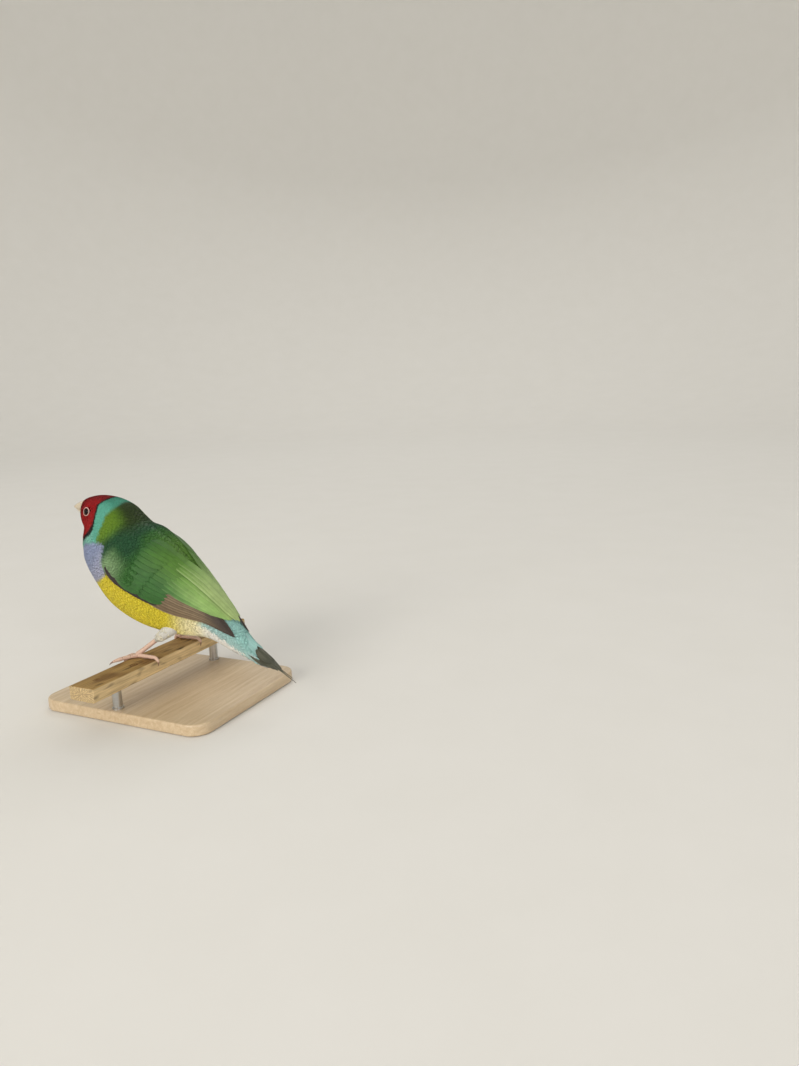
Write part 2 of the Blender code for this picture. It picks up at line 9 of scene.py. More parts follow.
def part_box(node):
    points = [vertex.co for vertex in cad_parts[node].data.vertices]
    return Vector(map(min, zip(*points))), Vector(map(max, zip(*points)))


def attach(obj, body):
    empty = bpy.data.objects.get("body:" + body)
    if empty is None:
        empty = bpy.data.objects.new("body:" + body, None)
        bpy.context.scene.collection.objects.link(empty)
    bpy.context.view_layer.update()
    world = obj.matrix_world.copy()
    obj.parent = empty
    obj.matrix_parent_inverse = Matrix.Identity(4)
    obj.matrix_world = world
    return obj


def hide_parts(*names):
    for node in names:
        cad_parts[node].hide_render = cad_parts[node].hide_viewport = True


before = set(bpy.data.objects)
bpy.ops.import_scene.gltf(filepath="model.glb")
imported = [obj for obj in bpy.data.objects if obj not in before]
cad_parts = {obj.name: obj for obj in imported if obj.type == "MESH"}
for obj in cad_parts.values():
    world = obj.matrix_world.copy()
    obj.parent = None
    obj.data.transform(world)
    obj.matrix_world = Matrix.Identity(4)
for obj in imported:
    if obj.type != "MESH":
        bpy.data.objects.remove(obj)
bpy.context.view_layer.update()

mm = 0.001
feetAhead = 0.9      # the feet grip this far ahead of the perch's own middle
perchLow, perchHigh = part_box("perch")
# Shapes are worked out in millimetres back, right and up from the perch's top, between the feet
birdZero = np.array([(perchLow.x + perchHigh.x) / 2 - feetAhead * mm, 0.0, perchHigh.z])


def toModel(points):
    return np.asarray(points, float) * mm + birdZero


def ease(low, high, value):
    share = np.clip((np.asarray(value, float) - low) / (high - low), 0.0, 1.0)
    return share * share * (3 - 2 * share)


def unit(vectors):
    return vectors / np.maximum(np.linalg.norm(vectors, axis=-1, keepdims=True), 1e-9)


def degreesOf(angle):
    return np.degrees(np.abs(angle))


# From one value or colour towards another
def blend(start, end, share):
    return start + (end - start) * share


# Reads a table of pairs at any value
def readTable(pairs, at):
    return np.interp(at, *np.array(pairs).T)


# An sRGB hex value to the linear numbers that shaders and colour attributes take
def hexColour(text):
    parts = [int(text[i:i + 2], 16) / 255 for i in (1, 3, 5)]
    return np.array([p / 12.92 if p <= 0.04045 else ((p + 0.055) / 1.055) ** 2.4 for p in parts])


def hexColours(table):
    return {name: hexColour(value) for name, value in table.items()}


def rgba(text):
    return (*hexColour(text), 1.0)


# One node with its settings and its inputs, which are either values or sockets to link
def addNode(tree, kind, settings=None, inputs=None):
    made = tree.nodes.new("ShaderNode" + kind)
    for key, value in (settings or {}).items():
        setattr(made, key, value)
    for key, value in (inputs or {}).items():
        if isinstance(value, bpy.types.NodeSocket):
            tree.links.new(value, made.inputs[key])
        else:
            made.inputs[key].default_value = value
    return made


# A material with its Principled shader, whose even values are set on the shader's own sockets
def newMaterial(name, values):
    made = bpy.data.materials.new(name)
    made.use_nodes = True
    shader = made.node_tree.nodes["Principled BSDF"]
    for key, value in values.items():
        shader.inputs[key].default_value = value
    return made, made.node_tree, shader


def addObject(name, data):
    made = bpy.data.objects.new(name, data)
    bpy.context.scene.collection.objects.link(made)
    return made


# A smooth mesh object from points in bird millimetres and faces that have equal numbers of corners
def meshPiece(name, points, faces):
    mesh = bpy.data.meshes.new(name)
    faces = np.asarray(faces, np.int32)
    mesh.vertices.add(len(points))
    mesh.vertices.foreach_set("co", toModel(points).astype(np.float32).ravel())
    mesh.loops.add(faces.size)
    mesh.loops.foreach_set("vertex_index", faces.ravel())
    mesh.polygons.add(len(faces))
    mesh.polygons.foreach_set("loop_start", np.arange(0, faces.size, faces.shape[1], dtype=np.int32))
    mesh.update(calc_edges=True)
    mesh.shade_smooth()
    return addObject(name, mesh)


# The pigment of every point, which the materials read
def paint(piece, colours):
    layer = piece.data.attributes.new("plume", "FLOAT_COLOR", "POINT")
    full = np.ones((len(colours), 4), np.float32)
    full[:, :3] = np.clip(colours, 0, 1)
    layer.data.foreach_set("color", full.ravel())


# Millimetres to the side of a feather's shaft and along it, and a number of the feather's own
def note(piece, vectors):
    layer = piece.data.attributes.new("vane", "FLOAT_VECTOR", "POINT")
    layer.data.foreach_set("vector", np.asarray(vectors, np.float32).ravel())


def unwrap(piece, places):
    layer = piece.data.uv_layers.new(name="OFBake")
    corners = np.empty(len(piece.data.loops), np.int32)
    piece.data.loops.foreach_get("vertex_index", corners)
    layer.data.foreach_set("uv", np.asarray(places, np.float32)[corners].ravel())


# Every piece takes its material, rides on the one body and stands for the named solids, which are hidden
def finishPiece(piece, material, slot, stands=()):
    piece.data.materials.clear()
    piece.data.materials.append(material)
    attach(piece, "root")
    if stands:
        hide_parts(*stands)
    return piece


# Faces between rings of equal count, wound so that they look outward for rings that turn rightward
def ringFaces(levels, count, start=0):
    low = start + np.arange(levels - 1)[:, None] * count + np.arange(count)[None, :]
    after = start + np.arange(levels - 1)[:, None] * count + (np.arange(count)[None, :] + 1) % count
    return np.stack([low, after, after + count, low + count], -1).reshape(-1, 4)


# Quads, each split in two triangles
def splitQuads(quads):
    return [corners for a, b, c, d in quads for corners in ((a, b, c), (a, c, d))]


# Quads across a flattened ring of points, from one rim to the other, which close it at a level
def capQuads(level, count):
    low, high = level * count, level * count + count - 1
    return [(low + j, low + j + 1, high - 1 - j, high - j) for j in range(count // 2 - 1)]


# Triangles from a ring of points to one point in its middle
def closeRing(start, count, middle):
    return [(start + k, start + (k + 1) % count, middle) for k in range(count)]


# Turns all faces of a closed piece outward, once points that coincide are joined where that is asked
def faceOutward(piece, join=False):
    work = bmesh.new()
    work.from_mesh(piece.data)
    if join:
        bmesh.ops.remove_doubles(work, verts=work.verts, dist=1e-7)
    bmesh.ops.recalc_face_normals(work, faces=work.faces)
    work.to_mesh(piece.data)
    work.free()


# The body under the feathers

# Ribs from the covert ends to the face: forward and up of the back, of the belly, and the half width
bodyPlan = {
    "ribs": (
        (-53.3, 3.4, -51.8, -0.4, 3.6), (-45.5, 11.8, -41.7, 2.9, 4.9),
        (-34.0, 25.0, -27.5, 8.2, 7.6), (-22.8, 37.1, -11.0, 8.4, 12.2),
        (-12.2, 47.0, 6.8, 11.4, 15.4), (-3.2, 53.0, 21.5, 18.5, 16.2),
        (3.8, 57.3, 30.3, 28.7, 15.8), (8.3, 61.3, 36.6, 38.4, 14.2),
        (11.9, 65.0, 37.3, 45.8, 12.0), (17.2, 67.7, 37.1, 50.0, 9.9),
        (23.0, 69.0, 37.0, 52.7, 8.6), (29.0, 69.3, 37.4, 54.9, 7.8),
        (34.0, 68.6, 37.7, 57.0, 6.3), (37.8, 67.5, 38.1, 59.3, 4.1)),
    "coatDepth": 0.65, "skinShade": 0.68, "levels": 130, "sides": 96, "endRings": (0.85, 0.6, 0.3, 0.02),
}
ribRows = np.array(bodyPlan["ribs"])
ribFrame = np.vstack([2 * ribRows[0] - ribRows[1], ribRows, 2 * ribRows[-1] - ribRows[-2]])


# A point of the coat's even surface. Place runs from 0 at the tail to 1 at the bill, and the angle
# from 0 on the back to pi on the belly, negative on the left side
def hullPoint(place, angle):
    last = len(ribRows) - 1
    along = np.clip(place, 0, 1) * last
    low = np.minimum(along.astype(int), last - 1)
    t = (along - low)[..., None]
    before, here, after, beyond = (ribFrame[low + i] for i in range(4))
    row = 0.5 * (2 * here + (after - before) * t
                 + (2 * before - 5 * here + 4 * after - beyond) * t ** 2
                 + (3 * here - before - 3 * after + beyond) * t ** 3)
    forward = (row[..., 0] + row[..., 2]) / 2 + (row[..., 0] - row[..., 2]) / 2 * np.cos(angle)
    up = (row[..., 1] + row[..., 3]) / 2 + (row[..., 1] - row[..., 3]) / 2 * np.cos(angle)
    return np.stack([-forward, row[..., 4] * np.sin(angle), up], -1)


# The surface point with its ways towards the tail, round the body and out of it, and the
# millimetres that one unit of place and one radian take there
def hullFrame(place, angle):
    place, angle = np.broadcast_arrays(np.asarray(place, float), np.asarray(angle, float))
    step = 1e-3
    inside = np.clip(place, step, 1 - step)
    tail = (hullPoint(inside - step, angle) - hullPoint(inside + step, angle)) / (2 * step)
    turn = (hullPoint(inside, angle + step) - hullPoint(inside, angle - step)) / (2 * step)
    perPlace = np.linalg.norm(tail, axis=-1)
    perAngle = np.maximum(np.linalg.norm(turn, axis=-1), 1e-6)
    past = np.maximum(-place, 0) * perPlace
    point = hullPoint(place, angle) + unit(tail) * past[..., None]
    return point, unit(tail), unit(turn), unit(np.cross(tail, turn)), perPlace, perAngle


# Markings

plumageColours = hexColours({
    "crimson": "#9f0a0b", "shadedCrown": "#840a10", "black": "#0c0908", "turquoise": "#62b39c",
    "turquoiseDeep": "#2f8068", "paleThroat": "#b4d6cc", "neckGreen": "#63861f", "shadedOlive": "#27390a",
    "deepGreen": "#1d4a2b", "green": "#2f6125", "backGreen": "#557e2d", "shoulder": "#84a275",
    "yellow": "#d9c833", "cream": "#ece2ae", "white": "#f1efe6", "violet": "#8b96b5", "lilac": "#a9abbf",
    "rump": "#96c6bf", "rumpPale": "#bbd2d1", "brown": "#5f4f3b", "buff": "#b09c7c",
    "wingTip": "#2d2521", "leaf": "#84a45c", "leafEdge": "#c3cf9e", "tertial": "#a3b679",
    "tail": "#4a4b3d", "tailEdge": "#73715f"})

# Each border gives the place along the body for degrees round it, from the back to the belly, but
# the top of the yellow gives degrees for places
borders = {
    "mask": ((0, .752), (26, .757), (50, .764), (72, .704), (86, .648), (98, .638), (110, .634),
             (135, .652), (180, .69)),
    "collar": ((0, .016), (50, .016), (70, .018), (80, .034), (92, .046), (104, .030), (120, .026),
               (180, .03)),
    "turquoise": ((0, .668), (28, .655), (54, .638), (70, .578), (82, .537), (100, .50), (180, .50)),
    "violetTop": ((66, .46), (70, .49), (86, .538), (100, .562), (112, .586), (134, .588), (180, .612)),
    "bellyTop": ((0, 80), (.34, 84), (.385, 93), (.42, 97), (.45, 99), (1, 99)),
    "violetLow": ((66, .515), (70, .505), (84, .466), (90, .436), (100, .424), (119, .440), (140, .458),
                  (180, .477)),
}


def borderAt(name, where):
    return readTable(borders[name], where)


def mixIn(colour, name, share):
    return blend(colour, plumageColours[name], share[..., None])


# Plain green at first, then each marking over those before it, by its share at every point
def layMarkings(place, markings):
    colour = np.broadcast_to(plumageColours["green"], (*place.shape, 3))
    for name, share in markings:
        colour = mixIn(colour, name, share)
    return colour


def bodyColour(place, angle):
    degrees = degreesOf(angle)
    turquoise = ease(-.022, .012, place - borderAt("turquoise", degrees))
    throat = ease(120, 160, degrees) * ease(.66, .60, place)
    low, top = borderAt("violetLow", degrees), borderAt("violetTop", degrees)
    violet = ease(-.005, .005, place - low) * ease(.007, -.007, place - top)
    under = ease(86, 100, degrees)
    vent = ease(146, 170, degrees) * ease(.33, .26, place)
    blueEdge = 104 + (0.14 - place) / 0.14 * 8
    blue = ease(4, -4, degrees - blueEdge) * ease(.18, .15, place)
    mask = borderAt("mask", degrees)
    chin = ease(158, 168, degrees)
    red = ease(-.003, .003, place - mask) * (1 - chin)
    return layMarkings(place, (
        ("backGreen", ease(.40, .28, place) * ease(60, 30, degrees)),
        ("deepGreen", ease(.38, .42, place) * ease(.54, .49, place)),
        # the nape's dark olive is partly the plumage's own green and partly painted shade
        ("shadedOlive", ease(.41, .52, place) * ease(58, 20, degrees)),
        ("neckGreen", ease(.475, .55, place) * ease(16, 50, degrees)),
        ("turquoise", turquoise),
        ("turquoiseDeep", turquoise * ease(48, 22, degrees) * 0.7),
        ("paleThroat", turquoise * np.maximum(throat, 0.25 * ease(80, 100, degrees))),
        ("yellow", ease(-3, 3, degrees - borderAt("bellyTop", place)) * ease(.006, -.006, place - low)),
        ("violet", violet),
        ("lilac", violet * ease(.52, .44, place) * 0.8),
        ("cream", under * ease(.245, .19, place)),
        ("white", np.maximum(under * ease(.19, .135, place), vent)),
        ("rump", blue),
        ("rumpPale", blue * ease(50, 95, degrees) * 0.45),
        ("black", ease(-.004, .003, place - mask + borderAt("collar", degrees))),
        ("crimson", red),
        # the darker red on top of the head is painted shade
        ("shadedCrown", red * ease(44, 24, degrees) * 0.8)))


def wingColour(place, angle):
    degrees = degreesOf(angle)
    return layMarkings(place, (
        ("backGreen", ease(.40, .25, place) * ease(66, 28, degrees) * 0.9),
        ("deepGreen", ease(.34, .40, place) * ease(74, 52, degrees)),
        # the same dark olive, partly the plumage's own green and partly painted shade
        ("shadedOlive", ease(.40, .47, place) * ease(44, 20, degrees) * 0.7),
        ("shoulder", ease(56, 80, degrees) * ease(.35, .41, place) * 0.8),
        ("leaf", ease(.27, .17, place) * ease(74, 46, degrees) * 0.9),
        ("tertial", ease(.27, .15, place) * ease(34, 14, degrees) * 0.8),
        ("brown", ease(86, 91, degrees) * ease(.44, .40, place) * 0.8)))


# The height of the folded wing's covert layer over the body's own surface
wingRise = {"height": 1.8, "front": (.485, .405), "lower": (94.0, 81.0), "upper": (-14.0, 10.0)}


def riseAt(place, angle):
    degrees = degreesOf(angle)
    front = ease(*wingRise["front"], place + 0.012 * ease(70, 90, degrees))
    lower = ease(*wingRise["lower"], degrees)
    upper = ease(*wingRise["upper"], degrees)
    back = (0.55 + 0.45 * ease(.25, .33, place)) * ease(.12, .20, place)
    return wingRise["height"] * front * lower * upper * back


# Feathers

# Reads a line of points at shares of its length, which may differ for every feather
def readAlong(line, shares):
    steps = line.shape[1] - 1
    at = np.clip(shares, 0, 1) * steps
    low = np.minimum(at.astype(int), steps - 1)
    t = (at - low)[..., None]
    rows = np.arange(len(line))[:, None]
    low = low.reshape(len(line), -1)
    t = t.reshape(len(line), -1, 1)
    return line[rows, low] * (1 - t) + line[rows, low + 1] * t


# The line on which each feather lies, from its root towards the tail
def layLines(place, angle, length, swing, height, steps=6):
    shares = np.linspace(0, 1, steps)
    *_, perPlace, perAngle = hullFrame(place, angle)
    places = place[:, None] - (np.cos(swing) * length / perPlace)[:, None] * shares
    angles = angle[:, None] + (np.sin(swing) * length / perAngle)[:, None] * shares
    point, _, _, out, _, _ = hullFrame(places, angles)
    line = point + out * height(places, angles)[..., None]
    way = unit(np.gradient(line, axis=1))
    across = unit(np.cross(out, way))
    return line, across, np.cross(way, across), places, angles


# Soft feathers laid on the body, in the colour that the markings have under their visible ends
def growTufts(name, place, angle, size, tint, surface, seed, blades=7):
    rng = np.random.default_rng(seed)
    swing = size["swing"] + rng.normal(0, size["ruffle"], len(place))
    line, across, out, places, angles = layLines(place, angle, size["length"], swing, surface)
    home = np.stack([0.03 + 0.94 * np.clip(place, 0, 1), 0.5 + 0.47 * angle / math.pi], -1)
    spots = np.stack([places, angles], -1)
    evenTone = tint(places[:, 3], angles[:, 3])[:, None]

    # mostly the marking that lies there, and partly one even tone for the whole feather
    def toneAt(at):
        read = readAlong(spots, at.reshape(len(at), -1))
        return (0.65 * tint(read[..., 0], read[..., 1]) + 0.35 * evenTone).reshape(*at.shape, 3)

    return tuftPiece(name, line, across, out, toneAt, home, size, rng, blades)


# Soft feathers: where a blade's rings stand along it, how wide it is there, and its raised ridge
tuftPlan = {
    "stations": (0.0, 0.4, 0.76), "bladeHalf": (0.62, 0.70, 0.56, 0.0), "ridge": 0.26, "ridgeMost": 0.035,
    "rootShade": 0.84, "featherTones": (0.965, 1.035), "hueTone": 0.008, "bladeTones": (0.96, 1.04),
    "bakePatch": 0.003,
}


# Each soft feather is a fan of fine closed blades that share a root and a rounded outline
def tuftPiece(name, line, across, out, toneAt, home, size, rng, blades=7):
    count = len(line)
    length = size["length"] * rng.uniform(0.88, 1.12, count)
    width = size["width"] * rng.uniform(0.9, 1.1, count)
    tone = rng.uniform(*tuftPlan["featherTones"], count)[:, None]
    tone = tone * (1 + rng.normal(0, tuftPlan["hueTone"], (count, 3)))
    fan = np.linspace(-1, 1, blades)
    end = (1 - 0.24 * fan ** 2) * rng.uniform(0.92, 1.0, (count, blades))
    shares = np.concatenate([tuftPlan["stations"], [1.0]])
    at = end[..., None] * shares
    rings = len(tuftPlan["stations"])
    spread = 0.34 + 0.9 * shares - 0.42 * shares ** 2
    side = width[:, None, None] / 2 * fan[None, :, None] * spread + rng.normal(0, 0.014, at.shape) * shares
    flat = at.reshape(count, -1)
    base = readAlong(line, flat).reshape(*at.shape, 3)
    acrossAt = unit(readAlong(across, flat)).reshape(*at.shape, 3)
    outAt = unit(readAlong(out, flat)).reshape(*at.shape, 3)
    lift = np.broadcast_to(size["lift"], (count,)) * rng.uniform(0.85, 1.15, count)
    height = -size["sink"] + (size["sink"] + lift)[:, None, None] * (1 - (1 - at) ** 2)
    height = height - 0.06 * (2 * side / width[:, None, None]) ** 2
    height = height + rng.normal(0, 0.008, at.shape) * shares
    half = (width / blades)[:, None, None] * np.array(tuftPlan["bladeHalf"])
    ridge = np.minimum(half * tuftPlan["ridge"], tuftPlan["ridgeMost"])
    middle = base + acrossAt * side[..., None] + outAt * height[..., None]
    left = middle - acrossAt * half[..., None]
    right = middle + acrossAt * half[..., None]
    top = middle + outAt * ridge[..., None]
    ring = np.stack([left, top, right], 3)[:, :, :rings]
    points = np.concatenate([ring.reshape(count, blades, rings * 3, 3), middle[:, :, rings:]], 2)

    # three corners a ring, closed at the root by one face and at the tip by a point
    tip = rings * 3
    faces = [(0, 1, 2)]
    for low in range(0, tip - 3, 3):
        for a, b in ((0, 1), (1, 2), (2, 0)):
            faces += [(low + a, low + a + 3, low + b + 3), (low + a, low + b + 3, low + b)]
    faces += [(tip - 3 + a, tip, tip - 3 + b) for a, b in ((0, 1), (1, 2), (2, 0))]
    allFaces = np.arange(count * blades)[:, None, None] * (tip + 1) + np.array(faces)
    piece = meshPiece(name, points.reshape(-1, 3), allFaces.reshape(-1, 3))

    # one value for each ring and one for the tip, read out for every point
    def perPoint(values):
        return np.concatenate([np.repeat(values[:, :, :rings], 3, axis=2), values[:, :, rings:]], 2)

    ringShares = np.append(np.repeat(shares[:rings], 3), 1.0)
    # darker towards the root: partly the grey down at a feather's base and partly painted shade where the
    # feathers overlap
    shade = blend(tuftPlan["rootShade"], 1.0, ease(0.0, 0.6, ringShares))
    strand = rng.uniform(*tuftPlan["bladeTones"], (count, blades))
    colours = perPoint(toneAt(at)) * tone[:, None, None, :] * shade[:, None] * strand[..., None, None]
    paint(piece, colours.reshape(-1, 3))
    alongShare = end[..., None] * ringShares
    sideShare = perPoint(side)
    own = np.broadcast_to(rng.random((count, 1, 1)), alongShare.shape)
    note(piece, np.stack([sideShare, alongShare * length[:, None, None], own], -1).reshape(-1, 3))
    patch = np.stack([alongShare - 0.5, sideShare / width[:, None, None]], -1) * tuftPlan["bakePatch"]
    unwrap(piece, (home[:, None, None] + patch).reshape(-1, 2))
    print(name, "has", count, "feathers and", allFaces.size // 3, "triangles")
    return piece


# Seeded places on the body, none nearer to another than the gap that the coat has there
def scatter(seed, tries, gapAt, allowed, low=0.0, high=1.0):
    rng = np.random.default_rng(seed)
    place = rng.uniform(low, high, tries)
    angle = rng.uniform(-math.pi, math.pi, tries)
    keep = allowed(place, angle)
    place, angle = place[keep], angle[keep]
    point, _, _, _, perPlace, perAngle = hullFrame(place, angle)
    gap = gapAt(place, angle)
    density = perPlace * perAngle / gap ** 2
    keep = rng.random(len(place)) < density / density.max()
    place, angle, point, gap = place[keep], angle[keep], point[keep], gap[keep]
    cell = float(gap.max())
    keys = np.floor(point / cell).astype(int)
    taken = {}
    chosen = []
    around = [(i, j, k) for i in (-1, 0, 1) for j in (-1, 0, 1) for k in (-1, 0, 1)]
    rows = point.tolist()
    for i, (a, b, c) in enumerate(keys.tolist()):
        x, y, z = rows[i]
        room = gap[i] ** 2
        free = True
        for da, db, dc in around:
            for px, py, pz in taken.get((a + da, b + db, c + dc), ()):
                if (px - x) ** 2 + (py - y) ** 2 + (pz - z) ** 2 < room:
                    free = False
                    break
            if not free:
                break
        if free:
            taken.setdefault((a, b, c), []).append((x, y, z))
            chosen.append(i)
    return place[chosen], angle[chosen]


# Vanes: columns of points from edge to edge, the raised shaft, and how the webs curve
vanePlan = {
    "columns": (-1.0, -0.66, -0.33, -0.07, 0.0, 0.07, 0.33, 0.66, 1.0), "shaft": 0.14, "shaftTip": 0.25,
    "camber": -0.026, "ripple": 0.018, "edgeThick": 0.35, "sharp": 50, "tones": (0.96, 1.04),
}


# Closed vanes from lines of points: a raised shaft, cambered webs either side, and thin edges
def growVanes(name, line, across, out, webs, thickness, tint, seed):
    count, stations = line.shape[:2]
    columns = np.array(vanePlan["columns"])
    crest = np.where(columns == 0, vanePlan["shaft"], 0.0)
    rng = np.random.default_rng(seed)
    left, right = webs
    reach = np.where(columns < 0, left[..., None] * -columns, right[..., None] * columns) * np.sign(columns)
    camber = vanePlan["camber"] * (reach ** 2) / np.maximum(np.maximum(left, right)[..., None], 0.2)
    ripple = rng.normal(0, vanePlan["ripple"], reach.shape) * np.abs(columns)
    body = thickness[..., None] * blend(vanePlan["edgeThick"], 1.0, (1 - columns ** 2) ** 0.5)
    taper = np.linspace(1, vanePlan["shaftTip"], stations)[None, :, None]
    centre = line[:, :, None] + across[:, :, None] * reach[..., None]
    top = centre + out[:, :, None] * (camber + ripple + body / 2 + crest * taper)[..., None]
    low = centre + out[:, :, None] * (camber + ripple - body / 2)[..., None]
    points = np.concatenate([top, low[:, :, ::-1]], 2)
    around = 2 * len(columns)
    caps = capQuads(0, around) + [face[::-1] for face in capQuads(stations - 1, around)]
    one = np.concatenate([ringFaces(stations, around)[:, ::-1], np.array(caps)])
    faces = (np.arange(count)[:, None, None] * stations * around + one).reshape(-1, 4)
    # every quad is split alike, so that the two skins of a curved vane never cross
    faces = np.concatenate([faces[:, [0, 1, 2]], faces[:, [0, 2, 3]]])
    piece = meshPiece(name, points.reshape(-1, 3), faces)
    faceOutward(piece)
    piece.data.set_sharp_from_angle(angle=math.radians(vanePlan["sharp"]))
    share = np.broadcast_to(np.linspace(0, 1, stations)[None, :, None], (count, stations, around))
    sideways = np.broadcast_to(np.concatenate([columns, columns[::-1]]), (count, stations, around))
    colours = tint(share, sideways) * rng.uniform(*vanePlan["tones"], (count, 1, 1, 1))
    paint(piece, colours.reshape(-1, 3))
    steps = np.linalg.norm(np.diff(line, axis=1), axis=-1)
    run = np.concatenate([np.zeros((count, 1)), np.cumsum(steps, 1)], 1)
    reachBoth = np.concatenate([reach, reach[..., ::-1]], 2)
    along = np.broadcast_to(run[..., None], reachBoth.shape)
    own = np.broadcast_to(rng.random((count, 1, 1)), reachBoth.shape)
    note(piece, np.stack([reachBoth, along, own], -1).reshape(-1, 3))
    strip = 0.96 / count
    row = 0.02 + strip * (np.arange(count)[:, None, None] + 0.5 + 0.42 * sideways)
    unwrap(piece, np.stack([0.02 + 0.96 * share, row], -1).reshape(-1, 2))
    print(name, "has", count, "vanes and", len(faces), "triangles")
    return piece


print("helpers ready")

# Materials

# A noise in the piece's own coordinates, its pitch in millimetres one for all ways or one for each
def grain(tree, pitch, detail, **more):
    pitches = pitch if isinstance(pitch, tuple) else (pitch,) * 3
    spot = addNode(tree, "TexCoord")
    stretch = addNode(tree, "Mapping", None, {"Vector": spot.outputs["Object"],
                                              "Scale": tuple(1 / (one * mm) for one in pitches)})
    return addNode(tree, "TexNoise", None, {"Vector": stretch.outputs["Vector"], "Scale": 1.0,
                                            "Detail": detail, **more}).outputs["Fac"]


# Gives a material its uneven colour and its relief. The colour is the piece's own pigment unless
# another is named. Each layer is a pattern, the range over which it is read and the brightness at
# both ends, and the relief a pattern, its strength and its depth in millimetres
def dress(tree, shader, layers, relief=None, colour=None):
    if colour is None:
        colour = addNode(tree, "Attribute", {"attribute_name": "plume"}).outputs["Color"]
    tone = None
    for pattern, span, ends in layers:
        part = addNode(tree, "MapRange", None, {"Value": pattern, "From Min": span[0], "From Max": span[1],
                                                "To Min": ends[0], "To Max": ends[1]}).outputs["Result"]
        if tone is None:
            tone = part
        else:
            tone = addNode(tree, "Math", {"operation": "MULTIPLY"}, {0: tone, 1: part}).outputs[0]
    if tone is not None:
        colour = addNode(tree, "HueSaturation", None, {"Color": colour, "Value": tone}).outputs["Color"]
    tree.links.new(colour, shader.inputs["Base Color"])
    if relief:
        pattern, strength, depth = relief
        bump = addNode(tree, "Bump", None, {"Height": pattern, "Strength": strength, "Distance": depth * mm})
        tree.links.new(bump.outputs["Normal"], shader.inputs["Normal"])


whole, middling = (0.0, 1.0), (0.3, 0.7)    # ranges over which a noise is read

# Contour feathers, keratin barbs with a silky bloom: soft wide gloss and slightly uneven pigment
silkyPlumage, tree, shader = newMaterial("silkyContourFeathers", {
    "Roughness": 0.58, "IOR": 1.54, "Specular IOR Level": 0.24, "Sheen Weight": 0.03,
    "Sheen Roughness": 0.45})
richer = grain(tree, 5.0, 3.0)      # patches of slightly richer pigment about 5 mm wide
barbules = grain(tree, 0.35, 2.0)   # really finer than this, drawn just coarse enough to show
dress(tree, shader, [(richer, middling, (0.93, 1.07))], (barbules, 0.08, 0.04))

# Flight feathers, firm keratin vanes: close slanted barbs give a satin sheen across each web
firmVane, tree, shader = newMaterial("firmFlightFeathers", {
    "Roughness": 0.52, "IOR": 1.54, "Specular IOR Level": 0.25, "Sheen Weight": 0.03})
where = addNode(tree, "Attribute", {"attribute_name": "vane"})
parts = addNode(tree, "SeparateXYZ", None, {"Vector": where.outputs["Vector"]})
aside = addNode(tree, "Math", {"operation": "ABSOLUTE"}, {0: parts.outputs["X"]})
slant = addNode(tree, "Math", {"operation": "MULTIPLY_ADD"},
                {0: aside.outputs[0], 1: -1.5, 2: parts.outputs["Y"]})
barbPitch = 0.42                    # millimetres; real barbs stand about 0.2 apart, too fine to show
turns = addNode(tree, "Math", {"operation": "MULTIPLY"}, {0: slant.outputs[0], 1: 2 * math.pi / barbPitch})
barbs = addNode(tree, "Math", {"operation": "SINE"}, {0: turns.outputs[0]}).outputs[0]
wear = grain(tree, 3.0, 4.0)        # patches of wear about 3 mm wide
dress(tree, shader, [(barbs, (-1.0, 1.0), (0.94, 1.05)), (wear, middling, (0.88, 1.1))], (barbs, 0.35, 0.03))

# Skin with its down under the contour feathers: matt, mottled, in the feathers' own colours darkened as
# painted shade under the coat
downySkin, tree, shader = newMaterial("downUnderTheCoat", {"Roughness": 0.9, "Specular IOR Level": 0.2})
fluff = grain(tree, 0.9, 4.0)       # tufts of down about 1 mm wide
dress(tree, shader, [(fluff, whole, (0.8, 1.15))], (fluff, 0.6, 0.15))


# Skin

def makeSkin():
    levels, sides = bodyPlan["levels"], bodyPlan["sides"]
    places = np.linspace(0.0, 1.0, levels)[:, None]
    angles = np.linspace(-math.pi, math.pi, sides, endpoint=False)[None, :]
    point, _, _, out, _, _ = hullFrame(places, angles)
    skin = point - out * bodyPlan["coatDepth"]
    rings = [skin]
    # the skin is painted in the markings darkened, as painted shade under the coat
    shades = [bodyColour(*np.broadcast_arrays(places, angles)) * bodyPlan["skinShade"]]
    # the two ends close in a few shrinking rings
    for scale in bodyPlan["endRings"]:
        tailRing, faceRing = (blend(skin[end].mean(0), skin[end], scale)[None] for end in (0, -1))
        rings = [tailRing, *rings, faceRing]
        shades = [shades[0][:1], *shades, shades[-1][-1:]]
    points = np.concatenate(rings)
    piece = meshPiece("skin", points.reshape(-1, 3), ringFaces(len(points), sides))
    faceOutward(piece)
    paint(piece, np.concatenate(shades).reshape(-1, 3))
    home = np.stack(np.broadcast_arrays(np.linspace(0.03, 0.97, len(points))[:, None],
                                        0.5 + 0.47 * angles / math.pi), -1)
    unwrap(piece, home.reshape(-1, 2))
    return finishPiece(piece, downySkin, "feathers_yellow", ("torso", "neck", "head"))


makeSkin()
print("skin made")

# Body feathers

# Gaps and lengths of the feathers in millimetres on the face, neck, body and rump
coatPlan = {
    "gaps": (0.60, 0.84, 1.06, 1.05), "lengths": (2.0, 3.4, 5.0, 5.2), "lifts": (0.07, 0.10, 0.13, 0.14),
    "eyeClear": 2.3, "eyeClearBack": 1.6, "eyeFlow": 62.0, "ventLift": 0.12, "throatLift": 0.5,
    "width": 0.54, "sink": 0.45, "ruffle": 0.035, "seed": 11, "tries": 420000, "tuftSeed": 21,
    # the folded wing hides the body above these degrees at these places
    "wingLow": ((.13, 66), (.16, 76), (.22, 85), (.30, 85), (.33, 84), (.39, 80)),
    "wingHigh": ((.13, 46), (.16, 14), (.29, 14), (.33, 46), (.39, 52)),
}

